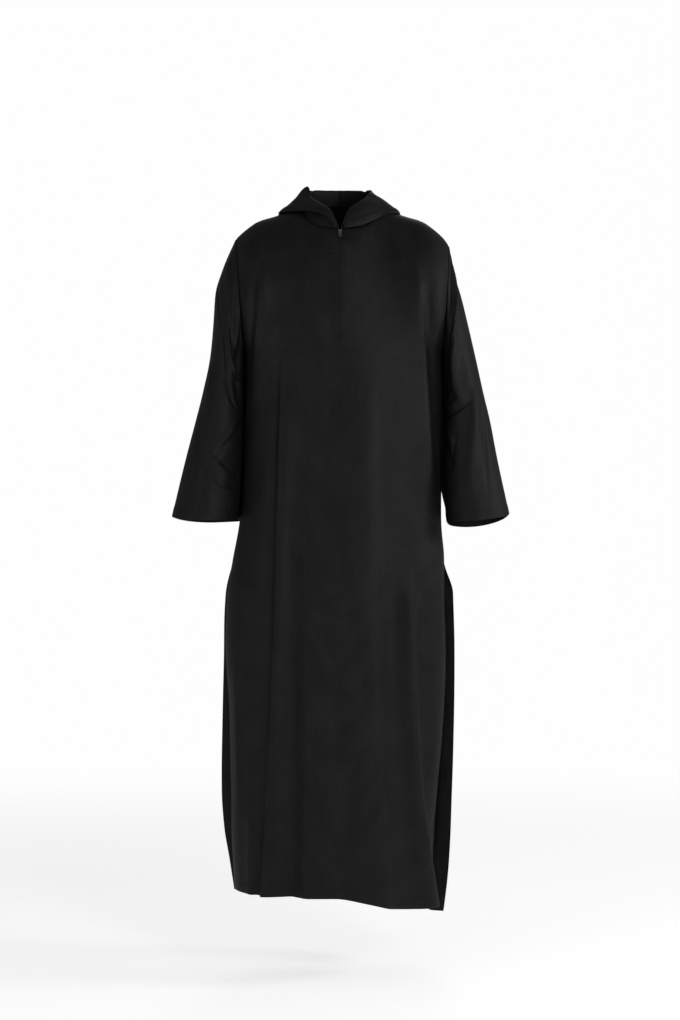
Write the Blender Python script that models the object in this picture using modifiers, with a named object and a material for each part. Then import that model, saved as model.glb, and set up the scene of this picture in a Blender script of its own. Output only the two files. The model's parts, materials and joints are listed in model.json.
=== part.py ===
"""A hooded djellaba robe in its hollow, worn form.

Metres, +Z up. The front faces -Y and the wearer's left is +X. The origin is at the base of
the neck, midway between the shoulder seams, where the wearer's shoulders hold the robe.
Each cloth piece is an open sheet laid on its own form and given its wall by Solidify.
"""

import math
from collections import namedtuple

import bmesh
import bpy
import numpy as np
from mathutils import Matrix, Vector
from mathutils.bvhtree import BVHTree

# ---------------------------------------------------------------- driving dimensions

WALL = 0.0016          # cloth wall
SEAM_GAP = 0.0003      # between pieces that are sewn together
LAP_GAP = 0.0014       # under cloth that lies on other cloth
WELD = 1e-6            # between points that are one
REST_REACH = 0.03      # how deep a sheet may be lifted out of the cloth under it
SHOULDER_CLEAR = 0.0018  # outward from the armhole's edge, where the sleeve's wall turns down
UNDERARM_CLEAR = 0.0005  # the same at the underarm

UNDERARM = -0.290      # height of the underarm points
HEM_LEVEL = -1.40      # about where the hem hangs
HALF_GIRTH = 0.295     # half of a panel's width at the chest, along the cloth
CHEST_RUN = 0.30       # from the neckline to the underarm's level, along the cloth
CHEST_HALF = 0.21      # half width and depth of a typical section
CHEST_DEPTH = 0.14
SECTION_POWER = 2.4    # 2 is an ellipse, more is squarer
NECK_COLUMNS = 0.32    # share of a panel's half width that hangs from the neckline
NECK_CROWD = 1.15      # above 1, the neckline's columns stand closer at its centre
ARMHOLE_REACH = 0.75   # share of a panel's half width that the armhole draws on

SLIT_HALF = 0.0015     # half of the zip slit's width
TAPE_HALF = 0.0140     # half of the zip tape's width
TAPE_WALL = 0.0010
ZIP_BOTTOM = -0.270    # height of the slit's lower end
TAPE_BEYOND = 0.012    # tape below the slit

NECK_STEPS = 7         # columns on each side that hang from the neckline
SIDE_STEPS = 9         # columns on each side that hang from the shoulder seam
SHOULDER_ROWS = 10     # shoulder seam to underarm
SKIRT_ROWS = 18        # underarm to hem
SLEEVE_ROUND = 26
SLEEVE_ROWS = 15
SLEEVE_CROWD = 0.85    # below 1, the sleeve's rows stand closer at the cuff
HOOD_ROWS = 18

SLEEVE_LONG = 0.55     # armhole to cuff, and a typical radius, which place the creases
SLEEVE_RADIUS = 0.065
TUCK_ANGLE = 223       # round the sleeve, in degrees: 0 outside, 90 front, 180 inside
TUCK_SPREAD = 18

# Shares over which folds, creases and clearances fade in and out.
FOLD_TOP_FADE = 0.22
FOLD_BOTTOM_FADE = 0.30
SIDE_SEAM_FADE = 0.12
SHOULDER_FADE = 0.25
SLIT_FADE_FROM = 1.42
SLIT_FADE = 0.10
ARMHOLE_FADE = 0.12
CLEAR_FADE = 0.05
CREASE_END = 0.35      # a crease's height at its ends, as a share of its middle's
ROLL_SHARE = 0.55      # how far the hood's middle line keeps to its roll
STEP = 1e-3            # in the forms' shares, where slopes are measured

# Height and place of the body's sections: half widths of the front and back panels on the
# wearer's right and left, their depths, and how far each side edge stands before (-) or
# behind (+) the side seam's line. The edges part where the side slits begin.
Section = namedtuple(
    "Section",
    "height front_right front_left back_right back_left front back front_edge back_edge",
)
BODY = (
    Section(-0.290, 0.1935, 0.2095, 0.1935, 0.2095, 0.137, 0.122, 0.000, 0.000),
    Section(-0.400, 0.1940, 0.2095, 0.1940, 0.2095, 0.139, 0.119, 0.000, 0.000),
    Section(-0.550, 0.2000, 0.2085, 0.2000, 0.2085, 0.141, 0.124, 0.000, 0.000),
    Section(-0.630, 0.2060, 0.2080, 0.2060, 0.2080, 0.143, 0.131, 0.000, 0.000),
    Section(-0.710, 0.2200, 0.2140, 0.2200, 0.2140, 0.145, 0.138, 0.000, 0.000),
    Section(-0.780, 0.2310, 0.2135, 0.2355, 0.2335, 0.147, 0.141, -0.010, 0.003),
    Section(-0.900, 0.2340, 0.2160, 0.2405, 0.2360, 0.150, 0.145, -0.016, 0.006),
    Section(-1.000, 0.2280, 0.2135, 0.2435, 0.2352, 0.151, 0.147, -0.018, 0.007),
    Section(-1.100, 0.2260, 0.2085, 0.2445, 0.2330, 0.152, 0.149, -0.018, 0.007),
    Section(-1.190, 0.2245, 0.2010, 0.2440, 0.2305, 0.152, 0.151, -0.018, 0.006),
    Section(-1.260, 0.2235, 0.1930, 0.2400, 0.2285, 0.151, 0.152, -0.018, 0.005),
    Section(-1.330, 0.2195, 0.1905, 0.2290, 0.2245, 0.150, 0.153, -0.017, 0.005),
    Section(-1.450, 0.2085, 0.1890, 0.2080, 0.2110, 0.148, 0.155, -0.016, 0.005),
)

# The hem's height across the front and the back.
Hem = namedtuple("Hem", "across front back")
HEM = (
    Hem(-0.220, -1.3800, -1.3900),
    Hem(-0.100, -1.3785, -1.3920),
    Hem(-0.010, -1.3780, -1.3960),
    Hem(0.060, -1.3905, -1.4040),
    Hem(0.120, -1.4050, -1.4180),
    Hem(0.220, -1.4135, -1.4350),
)

# The neckline round the neck, by angle from the front.
Neckline = namedtuple("Neckline", "angle radius height")
NECKLINE = (
    Neckline(0, 0.098, -0.042),
    Neckline(25, 0.095, -0.036),
    Neckline(50, 0.087, -0.019),
    Neckline(72, 0.081, 0.002),
    Neckline(90, 0.078, 0.015),
    Neckline(120, 0.075, 0.021),
    Neckline(150, 0.072, 0.024),
    Neckline(180, 0.071, 0.025),
)

# The shoulder seam's height outward from the neck.
Shoulder = namedtuple("Shoulder", "across height")
SHOULDER = (
    Shoulder(0.078, 0.0150),
    Shoulder(0.100, 0.0075),
    Shoulder(0.136, -0.0050),
    Shoulder(0.157, -0.0110),
    Shoulder(0.171, -0.0168),
    Shoulder(0.185, -0.0262),
    Shoulder(0.200, -0.0378),
    Shoulder(0.213, -0.0500),
    Shoulder(0.224, -0.0650),
)

# Sleeve sections from the armhole to the cuff. Each is an oval through an outer and an inner
# point, reaching before and behind its middle, dropping there below its own plane, and
# tucked in behind the body's side.
Ring = namedtuple(
    "Ring",
    "along outer outer_height inner inner_height middle front back front_drop back_drop tuck",
)
SLEEVE_RIGHT = (
    Ring(0.00, 0.2130, -0.050, 0.1935, -0.290, 0.000, 0.085, 0.088, 0.000, 0.000, 0.000),
    Ring(0.07, 0.2260, -0.076, 0.1948, -0.297, 0.000, 0.084, 0.087, 0.000, 0.000, 0.001),
    Ring(0.16, 0.2420, -0.115, 0.1949, -0.312, 0.000, 0.082, 0.086, 0.000, 0.000, 0.003),
    Ring(0.27, 0.2565, -0.165, 0.1950, -0.334, 0.000, 0.079, 0.083, 0.000, 0.000, 0.006),
    Ring(0.37, 0.2605, -0.225, 0.1951, -0.360, -0.002, 0.075, 0.080, 0.000, 0.000, 0.008),
    Ring(0.48, 0.2665, -0.290, 0.1953, -0.392, -0.004, 0.072, 0.077, 0.001, 0.001, 0.009),
    Ring(0.60, 0.2810, -0.363, 0.1964, -0.432, -0.008, 0.071, 0.075, 0.002, 0.003, 0.010),
    Ring(0.72, 0.2975, -0.430, 0.1986, -0.480, -0.013, 0.072, 0.074, 0.003, 0.006, 0.012),
    Ring(0.84, 0.3160, -0.502, 0.2012, -0.540, -0.018, 0.074, 0.074, 0.005, 0.009, 0.013),
    Ring(1.00, 0.3440, -0.620, 0.2070, -0.622, -0.024, 0.077, 0.075, 0.008, 0.013, 0.012),
)
SLEEVE_LEFT = (
    Ring(0.00, 0.2230, -0.064, 0.2095, -0.290, 0.000, 0.085, 0.088, 0.000, 0.000, 0.000),
    Ring(0.07, 0.2285, -0.085, 0.2107, -0.297, 0.000, 0.084, 0.087, 0.000, 0.000, 0.001),
    Ring(0.16, 0.2360, -0.125, 0.2108, -0.312, 0.000, 0.082, 0.086, 0.000, 0.000, 0.003),
    Ring(0.27, 0.2500, -0.172, 0.2108, -0.334, 0.000, 0.079, 0.083, 0.000, 0.000, 0.006),
    Ring(0.37, 0.2640, -0.230, 0.2108, -0.360, -0.002, 0.075, 0.080, 0.000, 0.000, 0.008),
    Ring(0.48, 0.2800, -0.300, 0.2108, -0.392, -0.004, 0.072, 0.077, 0.001, 0.001, 0.009),
    Ring(0.60, 0.2945, -0.367, 0.2108, -0.432, -0.008, 0.071, 0.075, 0.002, 0.003, 0.010),
    Ring(0.72, 0.3080, -0.425, 0.2108, -0.480, -0.013, 0.072, 0.074, 0.003, 0.006, 0.011),
    Ring(0.84, 0.3220, -0.500, 0.2112, -0.540, -0.018, 0.074, 0.074, 0.005, 0.010, 0.010),
    Ring(1.00, 0.3465, -0.615, 0.2180, -0.628, -0.024, 0.077, 0.075, 0.007, 0.021, 0.004),
)

# The hood folded down, by angle round the neck from the zip to the centre back: the line it
# rolls over, its lower fold, and its free edge, as distance from the middle, depth and
# height. Bulge and swell round out the cloth on either side of the fold.
Hood = namedtuple(
    "Hood",
    "angle roll_x roll_y roll_z fold_x fold_y fold_z edge_x edge_y edge_z bulge swell",
)
HOOD_LEFT = (
    Hood(0, 0.0040, -0.0990, -0.034, 0.0070, -0.1050, -0.036, 0.008, -0.1070, -0.041, 0.001, 0.000),
    Hood(22, 0.0165, -0.0870, -0.004, 0.0310, -0.0970, -0.019, 0.042, -0.0960, -0.034, 0.004, 0.001),
    Hood(43, 0.0360, -0.0660, 0.014, 0.0570, -0.0740, -0.001, 0.074, -0.0660, -0.018, 0.005, 0.001),
    Hood(65, 0.0540, -0.0370, 0.031, 0.0820, -0.0400, 0.014, 0.099, -0.0380, -0.007, 0.004, 0.001),
    Hood(87, 0.0615, -0.0020, 0.051, 0.1060, -0.0040, 0.018, 0.123, -0.0060, 0.001, 0.001, 0.002),
    Hood(110, 0.0535, 0.0350, 0.053, 0.1230, 0.0660, -0.025, 0.124, 0.0700, 0.012, 0.005, 0.006),
    Hood(133, 0.0440, 0.0530, 0.057, 0.1050, 0.1120, -0.110, 0.090, 0.1220, 0.000, 0.016, 0.012),
    Hood(157, 0.0230, 0.0640, 0.058, 0.0600, 0.1330, -0.195, 0.046, 0.1450, -0.018, 0.020, 0.017),
    Hood(180, 0.0000, 0.0680, 0.058, 0.0000, 0.1420, -0.255, 0.000, 0.1560, -0.028, 0.021, 0.019),
)
HOOD_RIGHT = (
    Hood(0, 0.0040, -0.0990, -0.034, 0.0070, -0.1050, -0.036, 0.008, -0.1070, -0.041, 0.001, 0.000),
    Hood(22, 0.0205, -0.0860, -0.003, 0.0270, -0.0960, -0.006, 0.031, -0.0980, -0.013, 0.003, 0.001),
    Hood(43, 0.0400, -0.0640, 0.014, 0.0520, -0.0740, 0.006, 0.060, -0.0760, -0.003, 0.004, 0.001),
    Hood(65, 0.0590, -0.0350, 0.031, 0.0820, -0.0400, 0.016, 0.094, -0.0420, 0.002, 0.004, 0.001),
    Hood(87, 0.0660, -0.0020, 0.056, 0.1060, -0.0040, 0.020, 0.127, -0.0060, 0.003, 0.001, 0.002),
    Hood(110, 0.0575, 0.0350, 0.055, 0.1250, 0.0660, -0.028, 0.124, 0.0700, 0.010, 0.005, 0.006),
    Hood(133, 0.0460, 0.0530, 0.058, 0.1080, 0.1120, -0.118, 0.094, 0.1220, -0.004, 0.016, 0.012),
    Hood(157, 0.0240, 0.0640, 0.058, 0.0600, 0.1330, -0.200, 0.048, 0.1450, -0.020, 0.020, 0.017),
    Hood(180, 0.0000, 0.0680, 0.058, 0.0000, 0.1420, -0.255, 0.000, 0.1560, -0.028, 0.021, 0.019),
)

# Folds that hang down the panels: where each starts and ends, its place across at the top,
# middle and bottom, its width towards the wearer's right and left, and how far it stands
# out (or in, where negative).
Fold = namedtuple("Fold", "top bottom x_top x_middle x_bottom wide_right wide_left height")
FRONT_FOLDS = (
    Fold(-0.300, -1.460, -0.1135, -0.1270, -0.1560, 0.012, 0.040, 0.011),
    Fold(-0.760, -1.460, 0.1400, 0.1480, 0.1900, 0.030, 0.012, 0.013),
    Fold(-0.090, -0.620, 0.1560, 0.1700, 0.1930, 0.022, 0.014, 0.009),
    Fold(-0.240, -1.460, 0.0680, 0.0720, 0.0980, 0.028, 0.022, 0.008),
    Fold(-0.780, -1.460, -0.0770, -0.0780, -0.0800, 0.026, 0.030, -0.008),
    Fold(-0.030, -0.200, -0.1390, -0.1390, -0.1380, 0.010, 0.012, -0.006),
    Fold(-0.080, -0.290, -0.1670, -0.1670, -0.1660, 0.009, 0.009, -0.005),
    Fold(-0.030, -0.190, 0.1180, 0.1190, 0.1200, 0.014, 0.012, 0.006),
    Fold(-0.080, -0.230, 0.1440, 0.1440, 0.1440, 0.012, 0.010, -0.006),
    Fold(-1.180, -1.460, -0.1780, -0.1760, -0.1740, 0.012, 0.005, 0.006),
    Fold(-0.820, -1.250, 0.1740, 0.1740, 0.1700, 0.014, 0.014, -0.007),
)
BACK_FOLDS = (
    Fold(-0.180, -1.480, -0.1280, -0.1380, -0.1500, 0.024, 0.016, 0.011),
    Fold(-0.300, -1.480, -0.0520, -0.0560, -0.0480, 0.022, 0.024, -0.008),
    Fold(-0.280, -1.480, 0.0220, 0.0180, 0.0260, 0.024, 0.030, 0.009),
    Fold(-0.340, -1.480, 0.0850, 0.0920, 0.0900, 0.022, 0.020, -0.008),
    Fold(-0.160, -1.480, 0.1400, 0.1450, 0.1560, 0.018, 0.024, 0.011),
)

# Creases on the sleeves: from one angle and share of the length to another (0 degrees is the
# outer line, 90 the front, 180 the inner line), half width in metres and height.
Crease = namedtuple("Crease", "angle_a along_a angle_b along_b width height")
RIGHT_CREASES = (
    Crease(62, 0.14, 118, 0.58, 0.014, -0.008),
    Crease(45, 0.18, 92, 0.62, 0.010, 0.006),
    Crease(128, 0.66, 58, 0.74, 0.009, -0.005),
    Crease(70, 0.78, 126, 0.83, 0.009, 0.005),
    Crease(250, 0.15, 228, 0.70, 0.016, -0.008),
    Crease(300, 0.22, 285, 0.80, 0.016, 0.006),
)
LEFT_CREASES = (
    Crease(58, 0.12, 92, 0.60, 0.012, 0.007),
    Crease(96, 0.10, 124, 0.55, 0.014, -0.008),
    Crease(48, 0.58, 66, 0.98, 0.013, 0.006),
    Crease(128, 0.62, 76, 0.67, 0.009, -0.005),
    Crease(132, 0.76, 96, 0.79, 0.009, -0.004),
    Crease(248, 0.14, 226, 0.72, 0.016, -0.008),
    Crease(300, 0.20, 288, 0.82, 0.016, 0.006),
)

# Zip slider and pull, in metres.
SLIDER_WIDE = 0.0080
SLIDER_LONG = 0.0100
SLIDER_THICK = 0.0022
SLIDER_BELOW_NECK = 0.0080  # from the neckline to the slider's middle
LUG_WIDE = 0.0012
LUG_APART = 0.0042
LUG_REACH = 0.0037
BAR_RADIUS = 0.0007
EYE_RADIUS = 0.0010
EYE_WALL = 0.0009
SLIDER_LIFT = 0.0006   # above the front's cloth
LUG_LONG = 0.0026
BAR_ALONG = -0.0010    # the bar, below the slider's middle
PULL_NECK = 0.0026     # the bar to the tab, past the lugs' corners
PULL_LONG = 0.0130
PULL_WIDE = 0.0062
PULL_THICK = 0.0012
PULL_TILT = math.radians(12)
ROUND_SIDES = 16

COLLECTION = "djellaba_robe"


# ---------------------------------------------------------------- curves and tables

def column(rows, name):
    return np.array([getattr(row, name) for row in rows], float)


def smooth(keys, values, at):
    """A smooth curve through the values that doesn't swing past them between rows."""
    if keys[0] > keys[-1]:
        keys, values = keys[::-1], values[::-1]
    at = np.clip(at, keys[0], keys[-1])
    steps = np.diff(keys)
    slopes = np.diff(values) / steps
    tangents = np.zeros(len(keys))
    left, right = slopes[:-1], slopes[1:]
    turning = left * right > 0
    tangents[1:-1][turning] = 2 * left[turning] * right[turning] / (left + right)[turning]
    tangents[0], tangents[-1] = slopes[0], slopes[-1]
    index = np.clip(np.searchsorted(keys, at, side="right") - 1, 0, len(keys) - 2)
    step = steps[index]
    t = (at - keys[index]) / step
    start, end = values[index], values[index + 1]
    return (
        start * (1 + 2 * t) * (1 - t) ** 2
        + end * t * t * (3 - 2 * t)
        + step * (tangents[index] * t * (1 - t) ** 2 - tangents[index + 1] * t * t * (1 - t))
    )


def read(rows, key, name, at):
    return smooth(column(rows, key), column(rows, name), np.asarray(at, float))


def ease(t):
    t = np.clip(t, 0, 1)
    return t * t * (3 - 2 * t)


def section_angles():
    """Angles that space the columns evenly round a typical section."""
    angles = np.linspace(-math.pi / 2, math.pi / 2, 721)
    power = 2 / SECTION_POWER
    x = CHEST_HALF * np.sign(angles) * np.abs(np.sin(angles)) ** power
    y = CHEST_DEPTH * np.abs(np.cos(angles)) ** power
    length = np.concatenate([[0], np.cumsum(np.hypot(np.diff(x), np.diff(y)))])
    return length / length[-1] * 2 - 1, angles


EVEN_SHARES, EVEN_ANGLES = section_angles()


# ---------------------------------------------------------------- the body's form

def body_section(u, height, facing):
    """A point across a panel (u from -1 at the wearer's right to 1) at one height."""
    side = "front" if facing < 0 else "back"
    half = np.where(
        u < 0,
        read(BODY, "height", side + "_right", height),
        read(BODY, "height", side + "_left", height),
    )
    depth = read(BODY, "height", side, height)
    edge = facing * read(BODY, "height", side + "_edge", height) + SEAM_GAP
    angle = np.interp(u, EVEN_SHARES, EVEN_ANGLES)
    power = 2 / SECTION_POWER
    x = half * np.sign(angle) * np.abs(np.sin(angle)) ** power
    y = edge + (depth - edge) * np.abs(np.cos(angle)) ** power
    return x, facing * y


def neck_point(angle):
    """The neckline at an angle from the front, positive towards the wearer's left."""
    turn = np.degrees(np.abs(angle))
    radius = read(NECKLINE, "angle", "radius", turn)
    height = read(NECKLINE, "angle", "height", turn)
    return radius * np.sin(angle), -radius * np.cos(angle), height


def neck_turn(share):
    """The angle from the front or back centre at a share of the neckline's quarter."""
    return math.pi / 2 * share ** NECK_CROWD


def top_edge(u, facing):
    """A panel's top: the shoulder seams, and the neckline between them."""
    size, sign = np.abs(u), np.where(u < 0, -1.0, 1.0)
    share = np.clip(size / NECK_COLUMNS, 0, 1)
    turn = neck_turn(share)
    angle = turn if facing < 0 else math.pi - turn
    neck_x, neck_y, neck_z = neck_point(angle)
    outer = np.where(u < 0, SLEEVE_RIGHT[0].outer, SLEEVE_LEFT[0].outer)
    seam = np.clip((size - NECK_COLUMNS) / (1 - NECK_COLUMNS), 0, 1)
    side_x = SHOULDER[0].across + (outer - SHOULDER[0].across) * seam
    side_z = read(SHOULDER, "across", "height", side_x)
    hangs_from_neck = size < NECK_COLUMNS
    x = sign * np.where(hangs_from_neck, neck_x, side_x)
    y = np.where(hangs_from_neck, neck_y, 0.0) + facing * SEAM_GAP
    return x, y, np.where(hangs_from_neck, neck_z, side_z)


def armhole(rows, turn):
    """The armhole's loop: 0 at the shoulder, half a turn at the underarm."""
    return ring_point(rows, turn, np.zeros_like(turn))


def panel_base(u, v, facing):
    """A panel's smooth form. v runs 0 to 1 to the underarm's level and on to 2 at the hem."""
    u, v = np.broadcast_arrays(np.asarray(u, float), np.asarray(v, float))
    w = np.clip(v, 0, 1)
    top_x, top_y, top_z = top_edge(u, facing)
    chest_x, chest_y = body_section(u, np.full_like(u, UNDERARM), facing)
    quarter = w * math.pi / 2
    x = top_x + (chest_x - top_x) * w
    y = top_y + (chest_y - top_y) * np.sin(quarter)
    z = top_z + (UNDERARM - top_z) * (1 - np.cos(quarter))
    pull = ease((np.abs(u) - 1 + ARMHOLE_REACH) / ARMHOLE_REACH)
    for sign, rows in ((-1, SLEEVE_RIGHT), (1, SLEEVE_LEFT)):
        turn = w * math.pi if facing < 0 else (2 - w) * math.pi
        hole_x, hole_y, hole_z = armhole(rows, turn)
        plain_x = sign * (rows[0].outer + (rows[0].inner - rows[0].outer) * w)
        plain_z = rows[0].outer_height + (UNDERARM - rows[0].outer_height) * (1 - np.cos(quarter))
        share = np.where(np.sign(u) == sign, pull, 0.0)
        x = x + share * (sign * hole_x - plain_x)
        y = y + share * hole_y
        z = z + share * (hole_z - plain_z)
    below = v > 1
    across, _ = body_section(u, np.full_like(u, HEM_LEVEL), facing)
    hem = read(HEM, "across", "front" if facing < 0 else "back", across)
    low_z = UNDERARM + (hem - UNDERARM) * (v - 1)
    low_x, low_y = body_section(u, low_z, facing)
    return np.stack(
        [np.where(below, low_x, x), np.where(below, low_y, y), np.where(below, low_z, z)], -1
    )


def hanging_folds(folds, x, z):
    """How far a panel's folds move its cloth out at a place across and a height."""
    out = np.zeros_like(x)
    for fold in folds:
        share = (z - fold.top) / (fold.bottom - fold.top)
        middle = 2 * fold.x_middle - (fold.x_top + fold.x_bottom) / 2
        inside = np.clip(share, 0, 1)
        path = (
            fold.x_top * (1 - inside) ** 2
            + 2 * middle * inside * (1 - inside)
            + fold.x_bottom * inside ** 2
        )
        off = x - path
        width = np.where(off < 0, fold.wide_right, fold.wide_left)
        fade = ease(share / FOLD_TOP_FADE)
        if fold.bottom > HEM_LEVEL:
            fade = fade * ease((1 - share) / FOLD_BOTTOM_FADE)
        out = out + fold.height * fade * np.exp(-((off / width) ** 2))
    return out


def panel_point(u, v, facing):
    """A panel's form with its folds, moved along the outward normal."""
    u, v = np.broadcast_arrays(np.asarray(u, float), np.asarray(v, float))
    base = panel_base(u, v, facing)
    right, left = np.maximum(u - STEP, -1), np.minimum(u + STEP, 1)
    above, below = np.maximum(v - STEP, 0), np.minimum(v + STEP, 2)
    across = panel_base(left, v, facing) - panel_base(right, v, facing)
    down = panel_base(u, below, facing) - panel_base(u, above, facing)
    normal = np.cross(across, down) * -facing
    normal /= np.maximum(np.linalg.norm(normal, axis=-1, keepdims=True), 1e-12)
    folds = FRONT_FOLDS if facing < 0 else BACK_FOLDS
    rise = hanging_folds(folds, base[..., 0], base[..., 2])
    sewn = ease((1 - np.abs(u)) / SIDE_SEAM_FADE) * ease(v / SHOULDER_FADE)
    open_side = ease((v - SLIT_FADE_FROM) / SLIT_FADE)
    rise = rise * np.maximum(sewn, np.where(v > 1, open_side, 0))
    return base + normal * -rise[..., None]


# ---------------------------------------------------------------- the sleeves' form

def ring_point(rows, turn, along):
    """The sleeve's oval at a share of its length, for the side where x is positive."""
    def value(name):
        return read(rows, "along", name, along)

    share = (1 + np.cos(turn)) / 2
    behind = (np.degrees(turn) - TUCK_ANGLE) / TUCK_SPREAD
    x = value("inner") + (value("outer") - value("inner")) * share
    x = x - value("tuck") * np.exp(-(behind ** 2))
    z = value("inner_height") + (value("outer_height") - value("inner_height")) * share
    side = np.sin(turn)
    reach = np.where(side > 0, value("front"), value("back"))
    drop = np.where(side > 0, value("front_drop"), value("back_drop"))
    return x, value("middle") - reach * side, z - drop * np.abs(side)


def flat_place(degrees, along):
    """A place on the sleeve as metres round it and down it."""
    return np.stack([np.radians(degrees) * SLEEVE_RADIUS, along * SLEEVE_LONG], -1)


def crease_rise(creases, turn, along):
    """How far the creases move the sleeve's cloth out."""
    out = np.zeros_like(turn)
    place = flat_place(np.degrees(turn) % 360, along)
    for crease in creases:
        start = flat_place(crease.angle_a, np.float64(crease.along_a))
        line = flat_place(crease.angle_b, np.float64(crease.along_b)) - start
        here = place - start
        share = np.clip((here @ line) / (line @ line), 0, 1)
        away = np.linalg.norm(here - share[..., None] * line, axis=-1)
        fade = CREASE_END + (1 - CREASE_END) * np.sin(math.pi * share)
        out = out + crease.height * fade * np.exp(-((away / crease.width) ** 2))
    return out


def sleeve_point(rows, creases, sign, turn, along):
    """The sleeve's cloth with its creases, clear of the armhole's edge at its start."""
    turn, along = np.broadcast_arrays(np.asarray(turn, float), np.asarray(along, float))

    def base(a, b):
        return np.stack(ring_point(rows, a, b), -1)

    round_it = base(turn + STEP, along) - base(turn - STEP, along)
    down = base(turn, np.minimum(along + STEP, 1)) - base(turn, np.maximum(along - STEP, 0))
    normal = np.cross(round_it, down)
    normal /= np.maximum(np.linalg.norm(normal, axis=-1, keepdims=True), 1e-12)
    rise = crease_rise(creases, turn, along) * ease(along / ARMHOLE_FADE)
    point = base(turn, along) + normal * rise[..., None]
    start = np.clip(1 - along / CLEAR_FADE, 0, 1)
    top = (1 + np.cos(turn)) / 2
    point[..., 0] += (UNDERARM_CLEAR + (SHOULDER_CLEAR - UNDERARM_CLEAR) * top) * start
    point[..., 0] *= sign
    return point


# ---------------------------------------------------------------- the hood's form

def through(points, share):
    """Smooth curves through rows of points, at a share of their length."""
    gaps = np.linalg.norm(np.diff(points, axis=0), axis=-1) ** 0.5
    knots = np.concatenate([np.zeros_like(gaps[:1]), np.cumsum(gaps, axis=0)])
    knots = knots / knots[-1]
    count = len(points)
    tangents = np.empty_like(points)
    for i in range(count):
        before, after = max(i - 1, 0), min(i + 1, count - 1)
        span = (knots[after] - knots[before])[..., None]
        tangents[i] = (points[after] - points[before]) / span
    out = np.zeros(np.broadcast_shapes(share.shape, knots[0].shape) + (3,))
    for i in range(count - 1):
        low, high = knots[i], knots[i + 1]
        t = (share - low) / (high - low)
        inside = (share >= low) & ((share < high) | (i == count - 2))
        t = np.clip(t, 0, 1)[..., None]
        span = (high - low)[..., None]
        value = (
            points[i] * (1 + 2 * t) * (1 - t) ** 2
            + points[i + 1] * t * t * (3 - 2 * t)
            + span * (tangents[i] * t * (1 - t) ** 2 - tangents[i + 1] * t * t * (1 - t))
        )
        out = np.where(inside[..., None], value, out)
    return out


def hood_point(rows, sign, angle, rise):
    """The hood's cloth from its neck seam (rise 0) to its free edge (rise 1)."""
    angle, rise = np.broadcast_arrays(np.asarray(angle, float), np.asarray(rise, float))
    turn = np.degrees(angle)

    def place(name):
        return np.stack([read(rows, "angle", f"{name}_{axis}", turn) for axis in "xyz"], -1)

    seam = np.stack(neck_point(angle), -1)
    seam[..., 2] += SEAM_GAP + WALL / 2
    roll, fold, edge = place("roll"), place("fold"), place("edge")
    outward = np.stack([np.sin(angle), -np.cos(angle), np.zeros_like(angle)], -1)
    bulge = read(rows, "angle", "bulge", turn)[..., None]
    swell = read(rows, "angle", "swell", turn)[..., None]
    lay = roll * ROLL_SHARE + fold * (1 - ROLL_SHARE) + outward * bulge
    back = (fold + edge) / 2 + outward * swell
    point = through(np.stack([seam, roll, lay, fold, back, edge]), rise)
    point[..., 0] += 2 * SEAM_GAP
    point[..., 0] *= sign
    return point


# ---------------------------------------------------------------- making the pieces

def material(name, colour, roughness, metallic):
    mat = bpy.data.materials.new(name)
    mat.use_nodes = True
    shader = mat.node_tree.nodes["Principled BSDF"]
    shader.inputs["Base Color"].default_value = (*colour, 1)
    shader.inputs["Roughness"].default_value = roughness
    shader.inputs["Metallic"].default_value = metallic
    return mat


def cloth_material(name):
    return material(name, (0.012, 0.011, 0.012), 0.62, 0.0)


def keep(collection, name, bm, mat):
    """Makes the bmesh an object of the part."""
    mesh = bpy.data.meshes.new(name)
    bm.to_mesh(mesh)
    bm.free()
    mesh.shade_smooth()
    mesh.materials.append(mat)
    obj = bpy.data.objects.new(name, mesh)
    collection.objects.link(obj)
    return obj


def sheet(across, down, form):
    """A grid of cloth: form gives a place for each pair of the two lists of shares."""
    bm = bmesh.new()
    bmesh.ops.create_grid(bm, x_segments=len(across) - 1, y_segments=len(down) - 1, size=1)
    bm.verts.ensure_lookup_table()
    columns, rows = len(across), len(down)
    place = np.array([vertex.co for vertex in bm.verts])
    i = np.rint((place[:, 0] + 1) / 2 * (columns - 1)).astype(int)
    j = np.rint((place[:, 1] + 1) / 2 * (rows - 1)).astype(int)
    points = form(np.asarray(across)[i], np.asarray(down)[j])
    for vertex, point in zip(bm.verts, points):
        vertex.co = point
    return bm, i, j


def face_outward(bm, axis_x):
    """Turns the sheet's faces so that most of them look away from an upright axis."""
    bm.normal_update()
    looking = 0.0
    for face in bm.faces:
        middle = face.calc_center_median()
        looking += face.normal.dot(Vector((middle.x - axis_x, middle.y, 0))) * face.calc_area()
    if looking < 0:
        bmesh.ops.reverse_faces(bm, faces=bm.faces[:])


def thicken(obj, wall, offset):
    solid = obj.modifiers.new("wall", "SOLIDIFY")
    solid.thickness = wall
    solid.offset = offset


def half_columns():
    """Columns from a panel's centre to its side, with the slit's and the tape's edges."""
    neck = np.linspace(TAPE_HALF / HALF_GIRTH, NECK_COLUMNS, NECK_STEPS + 1)
    side = np.linspace(NECK_COLUMNS, 1, SIDE_STEPS + 1)[1:]
    return np.concatenate([[SLIT_HALF / HALF_GIRTH], neck, side])


def panel_columns():
    left = half_columns()
    return np.concatenate([-left[::-1], left])


def panel_rows():
    upper = np.linspace(0, 1, SHOULDER_ROWS + 1)
    lower = np.linspace(1, 2, SKIRT_ROWS + 1)[1:]
    return np.concatenate([upper, lower])


def zip_rows():
    """The panel's rows that the slit runs through, with its lower end."""
    rows = panel_rows()
    heights = panel_base(0.0, rows, -1)[:, 2]
    return rows[heights > ZIP_BOTTOM]


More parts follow.
